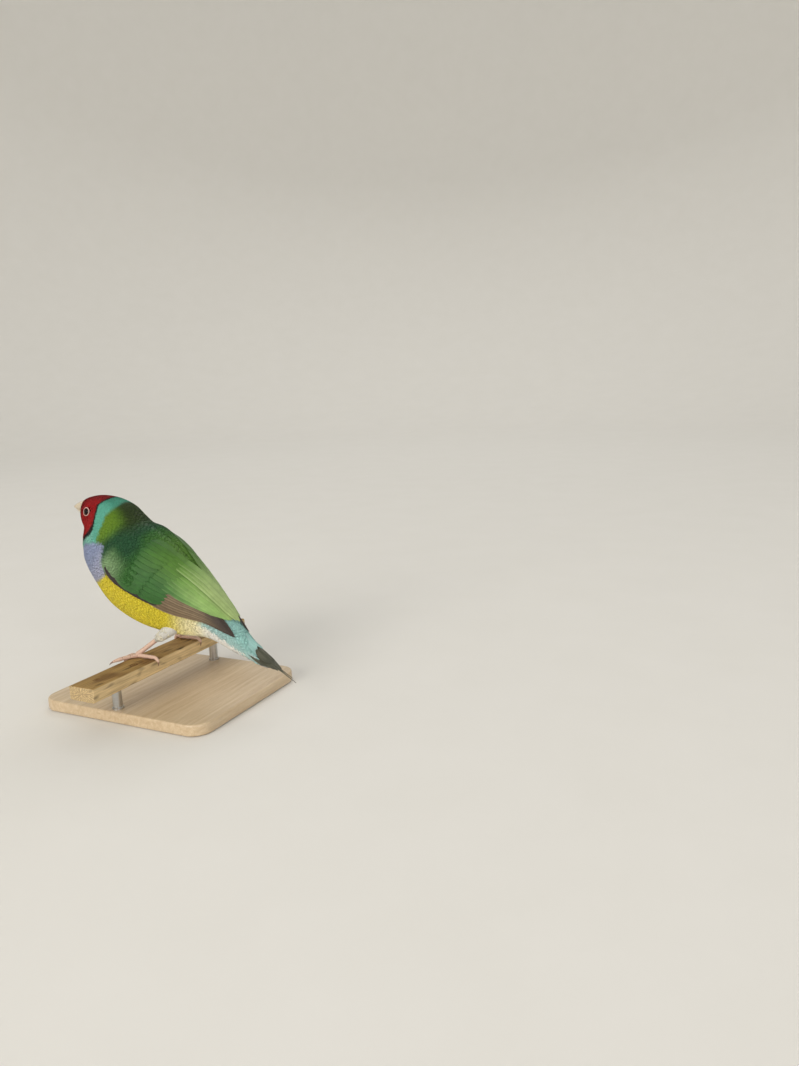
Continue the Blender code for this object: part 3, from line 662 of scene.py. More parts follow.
tailPlan = {
    "root": (-43.0, 8.6), "tip": (-69.4, -7.2),
    # from the middle pair out: reach along the axis, offset of the tip, half width
    "pairs": ((31.3, 0.6, 1.45), (22.0, 1.4, 1.8), (20.4, 2.2, 1.75), (18.6, 3.0, 1.7), (16.8, 3.7, 1.6),
              (15.2, 4.3, 1.5)),
    "rightPinShorter": 2.6, "step": 0.17, "thickness": 0.32, "droopPower": 0.8,
    "outerWeb": 0.85, "stations": 18,
    "coatEnd": ((0, .052), (40, .040), (90, .015), (180, .0)),      # where the blue coat stops
    # share of the full width along a feather, along a middle one and along a covert
    "blade": ((0, .6), (.3, .95), (.55, 1), (.75, .93), (.88, .7), (.95, .42), (1, .1)),
    "pin": ((0, .6), (.3, .95), (.5, .98), (.6, .74), (.68, .42), (.76, .24), (.9, .15), (1, .08)),
    "covert": ((0, .5), (.3, .9), (.55, 1), (.78, .8), (.92, .45), (1, .1)),
}

eyePlan = {
    "place": (30.35, 7.1, 63.0), "radius": 2.0, "depth": 1.5, "tall": 0.88, "pupil": 1.1, "ringOut": 1.05,
    "ringRadius": 1.84, "ringThick": 0.25, "beads": 30,
    "pupilColour": "#030202", "irisColour": "#2a100a", "rimColour": "#c09d93", "rimInside": "#6e3a33",
    # millimetres outward for each one back and each one up, as the cheek slants there
    "slant": (0.125, -0.264),
}


def byRegion(place, face, neck, body, rump):
    return np.interp(place, (0.0, 0.16, 0.26, 0.50, 0.60, 0.70, 0.78, 1.0),
                     (rump, rump, body, body, neck, (neck + face) / 2, face, face * 0.85))


# The place and angle of the body's surface that lie nearest to a point of the right side
def nearestSpot(point):
    place, angle = np.meshgrid(np.linspace(0, 1, 401), np.linspace(0, math.pi, 361))
    away = np.linalg.norm(hullPoint(place, angle) - point, axis=-1)
    best = np.unravel_index(away.argmin(), away.shape)
    return place[best], angle[best]


eyeSpot = nearestSpot(np.array(eyePlan["place"]) * (-1, 1, 1) + (0, eyePlan["ringOut"], 0))


# Millimetres ahead of the eye and below it, on the surface
def fromEye(place, angle):
    *_, perPlace, perAngle = hullFrame(*eyeSpot)
    return (place - eyeSpot[0]) * perPlace, (np.abs(angle) - eyeSpot[1]) * perAngle


def coatGap(place, angle):
    return byRegion(place, *coatPlan["gaps"])


# Where coat feathers may root: not on the eye, under the folded wing or past the coat's tail end
def coatRoots(place, angle):
    degrees = degreesOf(angle)
    ahead, below = fromEye(place, angle)
    eye = np.hypot(ahead, below) < np.where(ahead < 0, coatPlan["eyeClearBack"], coatPlan["eyeClear"])
    low, high = readTable(coatPlan["wingLow"], place), readTable(coatPlan["wingHigh"], place)
    hidden = (place > 0.13) & (place < 0.39) & (degrees > high) & (degrees < low)
    return ~(eye | hidden | (place < readTable(tailPlan["coatEnd"], degrees)))


def coatSize(place, angle):
    degrees = degreesOf(angle)
    length = byRegion(place, *coatPlan["lengths"])
    length = np.where(place < 0.34, length * (1 + 0.25 * ease(110, 160, degrees)), length)
    # short feathers part round the eye and run past it
    ahead, below = fromEye(place, angle)
    near = np.exp(-(ahead - 1.5) ** 2 / 6.0) * np.exp(-below ** 2 / 9.0) * (ahead > -1.0)
    swing = np.radians(coatPlan["eyeFlow"]) * near * np.tanh(below / 0.7) * np.sign(angle)
    length = length * (1 - 0.3 * near)
    vent = ease(.36, .2, place) * ease(100, 140, degrees)
    throat = ease(.60, .66, place) * ease(.80, .72, place) * ease(95, 125, degrees)
    lift = byRegion(place, *coatPlan["lifts"]) + coatPlan["ventLift"] * vent + coatPlan["throatLift"] * throat
    return {"length": length, "width": length * coatPlan["width"], "swing": swing, "lift": lift,
            "sink": coatPlan["sink"], "ruffle": coatPlan["ruffle"]}


# Body feathers lie over the front of the wing and between the wings, and under the flight feathers
def bodySurface(places, angles):
    over = ease(46, 36, degreesOf(angles))
    over = over + (1 - over) * ease(.33, .38, places)
    return riseAt(places, angles) * over - 0.05


def coatTint(places, angles):
    degrees = degreesOf(angles)
    onWing = ease(.475, .435, places) * ease(.29, .34, places) * ease(24, 40, degrees) * ease(94, 90, degrees)
    return blend(bodyColour(places, angles), wingColour(places, angles), onWing[..., None])


def makeCoat():
    places, angles = scatter(coatPlan["seed"], coatPlan["tries"], coatGap, coatRoots)
    onFace = places > 0.70
    onNeck = (places > 0.52) & ~onFace
    onUnder = (degreesOf(angles) > 80) & ~onFace & ~onNeck
    onBreast = onUnder & (places > 0.27)
    for name, chosen, slot, blades in (
            ("coatFace", onFace, "feathers_red", 5), ("coatNeck", onNeck, "feathers_green", 5),
            ("coatBreast", onBreast, "feathers_yellow", 7),
            ("coatBelly", onUnder & ~onBreast, "feathers_yellow", 7),
            ("coatBack", ~(onFace | onNeck | onUnder), "feathers_green", 7)):
        place, angle = places[chosen], angles[chosen]
        piece = growTufts(name, place, angle, coatSize(place, angle), coatTint, bodySurface,
                          coatPlan["tuftSeed"], blades)
        finishPiece(piece, silkyPlumage, slot)


makeCoat()
print("coat made")

# Wings

# Roots and tips are places along the body and degrees round it from the back. Each row of flight
# feathers has a root for its first and last one and every tip, and each row of coverts both ends
wingPlan = {
    "flight": {
        "primaries": {
            "roots": ((0.320, 88.0), (0.311, 60.0)), "width": 4.6, "bowFade": 14, "narrow": 0.3, "seed": 31,
            "tips": ((0.101, 66.0), (0.094, 63.0), (0.087, 58.5), (0.091, 55.5), (0.099, 54.0),
                     (0.108, 52.5), (0.117, 51.0), (0.126, 50.0), (0.134, 49.0)),
            # the right ones end nearer the back than the left's, and show past the tertials
            "rightNear": 0.42, "rightShift": -0.010, "base": "brown", "edge": "buff", "edgeFrom": 0.5,
            "edgeShare": 0.55, "tip": "wingTip", "tipFrom": 0.5},
        "secondaries": {
            "roots": ((0.310, 57.0), (0.305, 34.0)), "width": 5.4, "bowFade": 18, "narrow": 0.4, "seed": 32,
            "tips": ((0.137, 50.0), (0.129, 44.0), (0.121, 38.0), (0.116, 32.0), (0.113, 26.0),
                     (0.112, 20.0)),
            "edge": "leafEdge", "edgeFrom": 0.75, "edgeShare": 0.10},
        "tertials": {
            "roots": ((0.304, 29.0), (0.303, 22.0)), "width": 5.6, "narrow": 0.42, "seed": 33,
            "tips": ((0.106, 16.0), (0.101, 11.0), (0.140, 9.5)),
            # the left ones close over the midline, and the right ones are shorter
            "leftTips": ((0.106, 15.0), (0.101, 7.0), (0.112, -2.0)), "leftOver": 2.3, "rightShift": 0.036,
            "edge": "leafEdge", "edgeFrom": 0.6, "edgeShare": 0.3},
    },
    "coverts": {
        "greaterCoverts": {
            "count": 12, "roots": ((0.335, 86.0), (0.325, 20.0)), "tips": ((0.252, 85.0), (0.215, 13.0)),
            "width": 4.6, "heights": (0.40, 1.25), "narrow": 0.42, "seed": 34,
            "edge": "leaf", "edgeFrom": 0.8, "edgeShare": 0.05, "shade": 0.84},
        "medianCoverts": {
            "count": 11, "roots": ((0.378, 86.0), (0.372, 24.0)), "tips": ((0.304, 85.0), (0.276, 17.0)),
            "width": 4.6, "heights": (0.95, 1.5), "narrow": 0.42, "seed": 35,
            "edge": "leaf", "edgeFrom": 0.8, "edgeShare": 0.05, "shade": 0.84},
        # a dark strip along the wing's lower edge: partly dark feathers with brown edges and partly painted
        # shadow of the wing's edge
        "rimShadowCoverts": {
            "count": 7, "roots": ((0.430, 88.0), (0.335, 90.0)), "tips": ((0.360, 92.0), (0.262, 90.5)),
            "width": 2.2, "heights": (0.75, 0.45), "narrow": 0.45, "seed": 36,
            "base": "wingTip", "edge": "brown", "edgeFrom": 0.6, "edgeShare": 0.4},
    },
    "lesserCoverts": {"gap": 0.98, "length": 4.0, "width": 0.56, "lift": 0.12, "sink": 0.4, "ruffle": 0.06,
                      "seed": 41, "tries": 260000, "tuftSeed": 42},
    # share of the full width along a flight feather, and along a rounder covert
    "flightOutline": ((0, .45), (.1, .7), (.3, .95), (.5, 1), (.7, .95), (.85, .78), (.94, .52), (1, .10)),
    "covertOutline": ((0, .35), (.2, .75), (.45, 1), (.7, 1), (.86, .82), (.95, .5), (1, .12)),
    "bedGap": 0.5, "overRise": 0.75, "step": 0.066, "slope": 0.085, "bow": 13.0, "midClear": 0.45,
    "thickness": 0.34,
}


def spreadRow(ends, count):
    return blend(np.array(ends[0]), np.array(ends[1]), np.linspace(0, 1, count)[:, None])


# Lays a row of vanes over the folded wing, each overlapping the one below it
def wingVanes(name, side, row, roots, tips, heights, bows, outline, stations, over=0):
    share = np.linspace(0, 1, stations)
    place = blend(roots[:, :1], tips[:, :1], share)
    degrees = blend(roots[:, 1:], tips[:, 1:], share) + bows[:, None] * np.sin(math.pi * share)
    full = row["width"] * readTable(outline, share)
    rng = np.random.default_rng(row["seed"])
    notch = 1 - 0.08 * (rng.random((len(roots), stations)) > 0.86) * (share > 0.35) * (share < 0.97)
    # the web on the lower side is the narrow one
    lowerWeb = row["narrow"] * full * notch
    upperWeb = (1 - row["narrow"]) * full * np.roll(notch, 3, axis=1)
    _, _, _, _, _, perAngle = hullFrame(place, np.radians(degrees))
    clear = wingPlan["midClear"] * (1 - (over > 0)) - over * ease(0.05, 0.45, share)
    degrees = np.maximum(degrees, np.degrees((upperWeb + clear) / perAngle))
    point, _, _, out, _, _ = hullFrame(place, side * np.radians(degrees))
    settle = 0.4 * np.maximum(0, 1 - share / 0.3)
    rise = wingPlan["overRise"] * (over > 0) * ease(0.1, 0.5, share)
    line = point + out * (wingPlan["bedGap"] + heights[:, None] - settle + rise)[..., None]
    way = unit(np.gradient(line, axis=1))
    flat = unit(np.cross(out, way))
    lean = unit(flat + out * (np.arctan(wingPlan["slope"]) * side))
    thickness = np.full((len(roots), stations), wingPlan["thickness"]) * (1 - 0.55 * share ** 3)
    webs = (lowerWeb, upperWeb) if side < 0 else (upperWeb, lowerWeb)
    piece = growVanes(name, line, lean, np.cross(way, lean), webs, thickness,
                      vaneTint(side, row, place, degrees), row["seed"])
    finishPiece(piece, firmVane, "feathers_green")


# Colour of a vane: its own middle tone or the wing's marking there, with a paler lower edge and a
# dark shaft
def vaneTint(side, row, place, degrees):
    if "base" in row:
        base = plumageColours[row["base"]]
    else:
        base = wingColour(place, np.radians(degrees))[:, :, None]

    def tint(share, sideways):
        colour = np.broadcast_to(base, (*share.shape, 3)) * row.get("shade", 1.0)
        if "tip" in row:
            colour = mixIn(colour, row["tip"], 0.9 * ease(row["tipFrom"], 1.0, share))
        edge = ease(row["edgeFrom"], 0.98, sideways * side) * ease(0.90, 0.64, share)
        # no two neighbours are worn alike
        edge = edge * (0.7 + 0.3 * np.cos(2.4 * np.arange(len(share))))[:, None, None]
        colour = mixIn(colour, row["edge"], row["edgeShare"] * edge)
        return colour * (1 - 0.15 * ease(0.12, 0.03, np.abs(sideways))[..., None])
    return tint


def makeWing(side, name):
    # flight feathers lie on one another, each a step higher than the last
    below = 0
    for rowName, row in wingPlan["flight"].items():
        tips = np.array(row.get("leftTips", row["tips"]) if side < 0 else row["tips"])
        if side > 0:
            tips = tips * (1, row.get("rightNear", 1)) + (row.get("rightShift", 0), 0)
        count = len(tips)
        rank = np.arange(count) + below
        below += count
        bows = wingPlan["bow"] * (1 - rank / row["bowFade"]) if "bowFade" in row else np.zeros(count)
        wingVanes(rowName + name, side, row, spreadRow(row["roots"], count), tips,
                  wingPlan["step"] * rank, bows,
                  wingPlan["flightOutline"], 16, row.get("leftOver", 0) if side < 0 else 0)
    for rowName, row in wingPlan["coverts"].items():
        count = row["count"]
        wingVanes(rowName + name, side, row, spreadRow(row["roots"], count), spreadRow(row["tips"], count),
                  np.linspace(*row["heights"], count), np.zeros(count), wingPlan["covertOutline"], 12)
    makeWingCore(side, name)
    makeLesserCoverts(side, name)


# The closed bed of the coverts, under the lesser coverts and the shoulder
def makeWingCore(side, name):
    levels, steps = 40, 30
    place = np.linspace(0.462, 0.262, levels)[:, None]
    angle = side * np.radians(np.linspace(9, 93, steps)[None, :])
    point, _, _, out, _, _ = hullFrame(place, angle)
    sink = 0.3 + 0.6 * ease(.38, .30, place)
    top = point + out * np.maximum(riseAt(place, angle) - sink, -0.2)[..., None]
    low = point - out * 0.4
    ring = np.concatenate([top, low[:, ::-1]], 1)
    around = 2 * steps
    quads = [*ringFaces(levels, around), *capQuads(0, around), *capQuads(levels - 1, around)]
    piece = meshPiece("wingCore" + name, ring.reshape(-1, 3), splitQuads(quads))
    faceOutward(piece)
    # painted shade: the bed under the coverts is painted at half the wing's colour
    shade = wingColour(*np.broadcast_arrays(place, angle)) * 0.5
    paint(piece, np.concatenate([shade, shade[:, ::-1]], 1).reshape(-1, 3))
    home = np.stack(np.broadcast_arrays(place, 0.5 + 0.47 * angle / math.pi), -1)
    unwrap(piece, np.concatenate([home, home[:, ::-1] + [0, 0.002]], 1).reshape(-1, 2))
    finishPiece(piece, downySkin, "feathers_green", ("wing_" + name.lower(),))


def makeLesserCoverts(side, name):
    plan = wingPlan["lesserCoverts"]

    def allowed(place, angle):
        degrees = degreesOf(angle)
        return (np.sign(angle) == side) & (degrees > 44) & (degrees < 90) & (place > 0.35) & (place < 0.462)

    place, angle = scatter(plan["seed"], plan["tries"], lambda p, a: np.full(p.shape, plan["gap"]), allowed,
                           0.33, 0.47)
    size = {"length": np.full(len(place), plan["length"]), "width": plan["length"] * plan["width"],
            "swing": 0.0, "lift": plan["lift"], "sink": plan["sink"], "ruffle": plan["ruffle"]}
    piece = growTufts("lesserCoverts" + name, place, angle, size, wingColour,
                      lambda places, angles: riseAt(places, angles) - 0.05, plan["tuftSeed"])
    finishPiece(piece, silkyPlumage, "feathers_green")


makeWing(-1, "Left")
makeWing(1, "Right")
print("wings made")

# Tail

tailRoot = np.array([-tailPlan["root"][0], 0.0, tailPlan["root"][1]])
tailAxis = unit(np.array([-tailPlan["tip"][0], 0.0, tailPlan["tip"][1]]) - tailRoot)
tailUp = np.array([-tailAxis[2], 0.0, tailAxis[0]])
rightWay = np.array([0.0, 1.0, 0.0])


def tailVanes(name, start, reach, offset, half, height, droop, outlines, tint, seed, stands=()):
    stations = tailPlan["stations"]
    share = np.linspace(0, 1, stations)
    count = len(reach)
    run = blend(start, reach[:, None], share)
    sideways = offset[:, None] * (0.35 + 0.65 * share)
    lift = height[:, None] - droop[:, None] * share ** tailPlan["droopPower"]
    line = tailRoot + tailAxis * run[..., None] + rightWay * sideways[..., None] + tailUp * lift[..., None]
    rng = np.random.default_rng(seed)
    notch = 1 - 0.14 * (rng.random((count, stations)) > 0.88) * (share > 0.3) * (share < 0.95)
    full = half[:, None] * np.array([readTable(tailPlan[outline], share) for outline in outlines])
    lean = unit(rightWay + tailUp * (-0.05 * np.sign(offset))[:, None])[:, None] + 0 * line
    up = np.cross(unit(np.gradient(line, axis=1)), lean)
    left = full * np.where(offset < 0, tailPlan["outerWeb"], 1.0)[:, None] * notch
    right = full * np.where(offset > 0, tailPlan["outerWeb"], 1.0)[:, None] * np.roll(notch, 4, axis=1)
    thickness = np.full((count, stations), tailPlan["thickness"]) * (1 - 0.5 * share ** 3)
    piece = growVanes(name, line, lean, up, (left, right), thickness, tint, seed)
    finishPiece(piece, firmVane, "feathers_dark", stands)


def tailTint(share, sideways):
    colour = np.broadcast_to(plumageColours["tail"], (*share.shape, 3))
    colour = mixIn(colour, "tailEdge", 0.7 * ease(0.6, 1.0, np.abs(sideways)) * ease(0.95, 0.6, share))
    return colour * (1 - 0.3 * ease(0.12, 0.03, np.abs(sideways)))[..., None]


def covertTailTint(main, edge):
    def tint(share, sideways):
        colour = np.broadcast_to(plumageColours[main], (*share.shape, 3))
        rim = np.maximum(ease(0.6, 1.0, np.abs(sideways)), ease(0.8, 1.0, share))
        # painted shade: dimmed overall to match the shaded soft coat, and darker still towards the root where
        # the coverts overlap
        return mixIn(colour, edge, 0.45 * rim) * (0.66 + 0.18 * ease(0.1, 0.5, share))[..., None]
    return tint


def makeTail():
    pairs = np.array(tailPlan["pairs"] * 2)
    pairCount = len(tailPlan["pairs"])
    sides = np.repeat([-1.0, 1.0], pairCount)
    rank = np.tile(np.arange(pairCount), 2)
    reach = pairs[:, 0] - np.where((rank == 0) & (sides > 0), tailPlan["rightPinShorter"], 0)
    tailVanes("tailFeathers", 1.0, reach, sides * pairs[:, 1], pairs[:, 2],
              -tailPlan["step"] * rank - 0.05 * sides + 0.2, 0 * reach,
              ["pin" if one == 0 else "blade" for one in rank], tailTint, 51, ("tail",))
    # the middle feathers leave the coverts high up and settle on to the others
    offset = np.array([-2.5, 2.5, -1.5, 1.5, -0.5, 0.5])
    far = np.abs(offset)
    tailVanes("tailBases", 3.0, 19.0 - 0.9 * far, offset, np.full(6, 1.3), 3.2 - 0.42 * far, 2.9 - 0.42 * far,
              ["blade"] * 6, tailTint, 54)
    count = 11
    across = np.linspace(-2.9, 2.9, count)
    far = np.abs(across)
    reach = 8.4 + 0.5 * far + 0.3 * np.cos(np.arange(count) * 2.1)
    tailVanes("upperTailCoverts", 1.0, reach, across + 0.01, np.full(count, 1.15), 4.35 - 0.55 * far,
              np.full(count, 1.6), ["covert"] * count, covertTailTint("rump", "rumpPale"), 52)
    across = np.linspace(-3.8, 3.8, 12)
    inner = np.abs(across) < 3.4
    parts = (("underTailCoverts", inner, "white"), ("sideTailCoverts", ~inner, "rumpPale"))
    for name, chosen, colour in parts:
        ways = across[chosen]
        far = np.abs(ways)
        tailVanes(name, 2.0, 13.0 - 0.35 * far, ways, np.full(len(ways), 1.25), -3.0 + 0.17 * far ** 2,
                  -1.6 + 0.3 * far, ["covert"] * len(ways), covertTailTint(colour, "white"), 53)


makeTail()
print("tail made")

# Bill

# Bill of ivory horn, keratin grown in layers and worn smooth: waxy gloss with a little light inside
ivoryHorn, tree, shader = newMaterial("ivoryHorn", {
    "Roughness": 0.34, "IOR": 1.54, "Subsurface Weight": 0.25, "Subsurface Scale": 0.8 * mm,
    "Subsurface Radius": (1.0, 0.6, 0.4), "Coat Weight": 0.12, "Coat Roughness": 0.25})
clouding = grain(tree, 1.6, 3.0)    # cloudy patches in the horn about 1.6 mm wide
growthPitch = 0.5                   # millimetres between the growth lines, drawn coarse enough to show
spot = addNode(tree, "TexCoord")
growth = addNode(tree, "TexWave", {"bands_direction": "X"}, {
    "Vector": spot.outputs["Object"], "Scale": math.pi / 10 / (growthPitch * mm), "Distortion": 2.0,
    "Detail": 2.0})
dress(tree, shader, [(clouding, middling, (0.9, 1.06))], (growth.outputs["Fac"], 0.12, 0.05))

billPlan = {
    "base": 36.6, "tip": 46.2, "tipUp": 63.9, "mouth": 62.7, "halfWidth": 3.7, "levels": 40, "arc": 25,
    "palate": 6, "nostril": (39.5, 1.6, 66.1), "nostrilRadius": 0.34,
    "upper": {"edge": 67.4, "shorter": 0.0, "gape": 0.05, "tipDrop": 0.1, "wide": 1.0, "swell": 0.86,
              "baseTone": 0.45},
    "lower": {"edge": 58.7, "shorter": 0.7, "gape": -0.05, "tipDrop": 0.85, "wide": 0.93, "swell": 0.95,
              "baseTone": 0.8},
}
billColours = hexColours({"ivory": "#c3b59e", "base": "#b3a487", "tip": "#b98f7d", "edge": "#a39079"})


def makeBillHalf(name):
    plan, half = billPlan, billPlan[name]
    rings, shades = [], []
    reach = plan["tip"] - plan["base"] - half["shorter"]
    for i in range(plan["levels"] + 1):
        t = i / plan["levels"]
        forward = plan["base"] + reach * t
        taper = (1 - t ** 1.35) ** 0.86 if t < 1 else 0.0
        # the gape turns down towards the cheek
        mouth = plan["mouth"] + 0.5 * t - 0.9 * ease(0.32, 0.0, t) + half["gape"]
        outer = blend(plan["tipUp"] - half["tipDrop"], half["edge"], taper)
        outer = max(outer, mouth + 0.08) if name == "upper" else min(outer, mouth - 0.08)
        width = plan["halfWidth"] * taper * half["wide"] + 0.06
        ring = []
        for angle in np.linspace(0, math.pi, plan["arc"]):
            swell = abs(math.sin(angle)) ** half["swell"]
            side = width * math.copysign(abs(math.cos(angle)) ** 1.08, math.cos(angle))
            ring.append((-forward, side, mouth + (outer - mouth) * swell))
            tone = blend(billColours["ivory"], billColours["base"], ease(0.5, 0.15, t) * half["baseTone"])
            tone = blend(tone, billColours["tip"], ease(0.8, 1.0, t) * 0.5)
            shades.append(blend(tone, billColours["edge"], ease(0.25, 0.0, swell) * 0.7))
        # the flat palate side closes the ring
        for k in range(1, plan["palate"]):
            ring.append((-forward, -width * (1 - 2 * k / plan["palate"]), mouth))
            shades.append(billColours["edge"] * 0.6)
        rings.append(ring)
    count = len(rings[0])
    faces = splitQuads(ringFaces(len(rings), count))
    for low in (0, (len(rings) - 1) * count):
        faces += [(low, low + k, low + k + 1) for k in range(1, count - 1)]
    piece = meshPiece("bill" + name.capitalize(), np.array(rings).reshape(-1, 3), faces)
    faceOutward(piece)
    paint(piece, np.array(shades))
    if name == "upper":
        cutNostrils(piece)
    piece.data.set_sharp_from_angle(angle=math.radians(55))
    finishPiece(piece, ivoryHorn, "bill", ("bill_" + name,))


def cutNostrils(piece):
    forward, side, up = billPlan["nostril"]
    for way in (-1, 1):
        place = toModel((-forward, way * side, up))
        bpy.ops.mesh.primitive_uv_sphere_add(
            segments=16, ring_count=10, radius=billPlan["nostrilRadius"] * mm, location=place)
        cutter = bpy.context.object
        cutter.scale = (1.35, 0.8, 0.8)
        bpy.context.view_layer.update()
        cut = piece.modifiers.new("nostril", "BOOLEAN")
        cut.operation = "DIFFERENCE"
        cut.object = cutter
        bpy.context.view_layer.objects.active = piece
        bpy.ops.object.modifier_apply(modifier=cut.name)
        bpy.data.objects.remove(cutter)


makeBillHalf("upper")
makeBillHalf("lower")
print("bill made")

# Eyes

# Eye of dark brown iris under a wet cornea: near mirror gloss over almost black
wetEye, tree, shader = newMaterial("wetDarkIris", {
    "Roughness": 0.08, "IOR": 1.38, "Specular IOR Level": 0.2, "Coat Weight": 0.1, "Coat Roughness": 0.02,
    "Coat IOR": 1.38})
# fibres of the iris about 0.3 mm wide
dress(tree, shader, [(grain(tree, 0.3, 3.0), whole, (0.6, 1.4))])

# Bare skin of the eye rim, thin and finely wrinkled with small beads: soft, slightly moist, light shines in
bareRim, tree, shader = newMaterial("bareEyeRim", {
    "Roughness": 0.5, "IOR": 1.4, "Subsurface Weight": 0.3, "Subsurface Scale": 0.5 * mm})
wrinkles = grain(tree, 0.35, 3.0)   # about 0.35 mm apart
dress(tree, shader, [(wrinkles, whole, (0.8, 1.15))], (wrinkles, 0.4, 0.06))


def makeEye(side, name):
    centre = np.array(eyePlan["place"]) * (-1, side, 1)
    rounds, levels = 48, 30
    points = []
    for lean in np.linspace(0, math.pi, levels + 1):
        for turn in np.linspace(0, 2 * math.pi, rounds, endpoint=False):
            reach = eyePlan["radius"] * math.sin(lean)
            back, rise = reach * math.cos(turn), reach * math.sin(turn) * eyePlan["tall"]
            outward = eyePlan["depth"] * math.cos(lean) + np.dot(eyePlan["slant"], (back, rise))
            points.append(centre + np.array([back, side * outward, rise]))
    piece = meshPiece("eye" + name, np.array(points), ringFaces(levels + 1, rounds))
    faceOutward(piece, join=True)
    spots = np.array([point.co for point in piece.data.vertices]) - toModel(centre)
    near = np.linalg.norm(spots[:, [0, 2]] / (1, eyePlan["tall"]), axis=1) / mm
    iris = ease(eyePlan["pupil"], eyePlan["pupil"] + 0.12, near) * ease(1.8, 1.62, near)
    paint(piece, blend(hexColour(eyePlan["pupilColour"]), hexColour(eyePlan["irisColour"]), iris[:, None]))
    finishPiece(piece, wetEye, "eye", ("eye_" + name.lower(),))
    makeEyeRim(side, name, centre)


def makeEyeRim(side, name, centre):
    rounds, around = 150, 14
    pale, deep = hexColour(eyePlan["rimColour"]), hexColour(eyePlan["rimInside"])
    points, shades = [], []
    for turn in np.linspace(0, 2 * math.pi, rounds, endpoint=False):
        bead = 0.5 + 0.5 * math.cos(eyePlan["beads"] * turn)
        radius = eyePlan["ringRadius"] * (1 - 0.03 * math.cos(2 * turn))
        way = np.array([math.cos(turn), 0.0, math.sin(turn) * eyePlan["tall"]])
        # the lids droop a little towards both corners of the eye
        droop = 0.12 * abs(math.cos(turn)) ** 3
        for angle in np.linspace(0, 2 * math.pi, around, endpoint=False):
            thick = eyePlan["ringThick"] * (1 + 0.16 * bead * max(0.0, math.cos(angle)))
            reach = radius + thick * math.cos(angle)
            lift = eyePlan["ringOut"] - droop + 0.8 * thick * math.sin(angle)
            lift += reach * np.dot(eyePlan["slant"], way[[0, 2]])
            points.append(centre + way * reach + np.array([0.0, side * lift, 0.0]))
            inner = ease(0.1, 0.9, -math.cos(angle))
            shades.append(blend(pale * (0.86 + 0.2 * bead), deep, inner))
    last = (rounds - 1) * around
    seam = [(last + j, last + (j + 1) % around, (j + 1) % around, j) for j in range(around)]
    piece = meshPiece("eyeRim" + name, np.array(points), np.concatenate([ringFaces(rounds, around), seam]))
    faceOutward(piece)
    paint(piece, np.array(shades))
    finishPiece(piece, bareRim, "eye")


for side, name in ((-1, "Left"), (1, "Right")):
    makeEye(side, name)
print("eyes made")

# Legs and feet

# Leg skin in horny scutes over live flesh: dry satin plates, pinkish with paler edges
scutedSkin, tree, shader = newMaterial("scutedLegSkin", {
    "Roughness": 0.5, "IOR": 1.45, "Subsurface Weight": 0.06, "Subsurface Scale": 0.5 * mm,
    "Subsurface Radius": (1.0, 0.45, 0.35)})
flesh = grain(tree, 0.8, 4.0)       # mottled about 1 mm wide
dress(tree, shader, [(flesh, whole, (0.8, 1.15))], (flesh, 0.3, 0.08))

# Claws of grey-brown horn, hard and polished by use
clawHorn, tree, shader = newMaterial("clawHorn", {"Roughness": 0.3, "IOR": 1.54, "Coat Weight": 0.2})
# faint clouds half a millimetre wide
dress(tree, shader, [(grain(tree, 0.5, 2.0), whole, (0.85, 1.1))])

legPlan = {
    "heel": (-8.4, 8.6, 10.2), "foot": (2.6, 14.2, 1.5), "tarsus": 1.02, "toe": 0.90, "scute": 1.15,
    "toeScute": 0.85, "gap": 0.08, "bendPerMm": 24.0, "mostBend": 105.0, "claw": 3.0,
    # each front toe: heading out from straight ahead, length with its claw, and how hard it grips
    "front": ((16.0, 10.5, 1.0), (38.0, 14.5, 0.9), (57.0, 13.5, 0.08)), "hallux": 15.0,
    "palm": ((0.9, 0, 0.25), (0.3, 0, 0.3), (-0.5, 0.2, 0.2), (-1.3, 0.5, 0.0)),
}


# A tube along points, its radius and colour given by the run along it, the share of its length and
# how far on top a point is
def limbShape(path, radiusAt, toneAt, sides=18):
    path = np.array(path)
    levels = len(path)
    way = unit(np.gradient(path, axis=0))
    rightSide = unit(np.cross(way[0], (0.0, 0.0, 1.0) if abs(way[0][2]) < 0.95 else (0.0, 1.0, 0.0)))
    run = np.concatenate([[0], np.cumsum(np.linalg.norm(np.diff(path, axis=0), axis=1))])
    rings, shades = [], []
    for i in range(levels):
        rightSide = unit(rightSide - way[i] * rightSide.dot(way[i]))
        upSide = np.cross(rightSide, way[i])
        for angle in np.linspace(0, 2 * math.pi, sides, endpoint=False):
            at = (run[i], run[i] / run[-1], math.sin(angle))
            rings.append(path[i] + radiusAt(*at) * (rightSide * math.cos(angle) + upSide * math.sin(angle)))
            shades.append(toneAt(*at))
    rings += [path[0] - way[0] * 0.1, path[-1] + way[-1] * 0.12]
    shades += [shades[0], shades[-1]]
    end = levels * sides
    faces = splitQuads(ringFaces(levels, sides))
    faces += closeRing(0, sides, end) + closeRing(end - sides, sides, end + 1)
    return np.array(rings), np.array(faces), np.array(shades)


# One piece from several closed shapes that run into each other
def piecesOf(name, shapes):
    points, faces, shades, start = [], [], [], 0
    for shapePoints, shapeFaces, shapeShades in shapes:
        points.append(shapePoints)
        faces.append(shapeFaces + start)
        shades.append(shapeShades)
        start += len(shapePoints)
    piece = meshPiece(name, np.concatenate(points), np.concatenate(faces))
    faceOutward(piece)
    paint(piece, np.concatenate(shades))
    return piece


legTones = hexColours({"flesh": "#c9aa97", "edge": "#9c7a69", "pad": "#b99484", "claw": "#8b6a58",
                       "clawTip": "#4e3a30"})


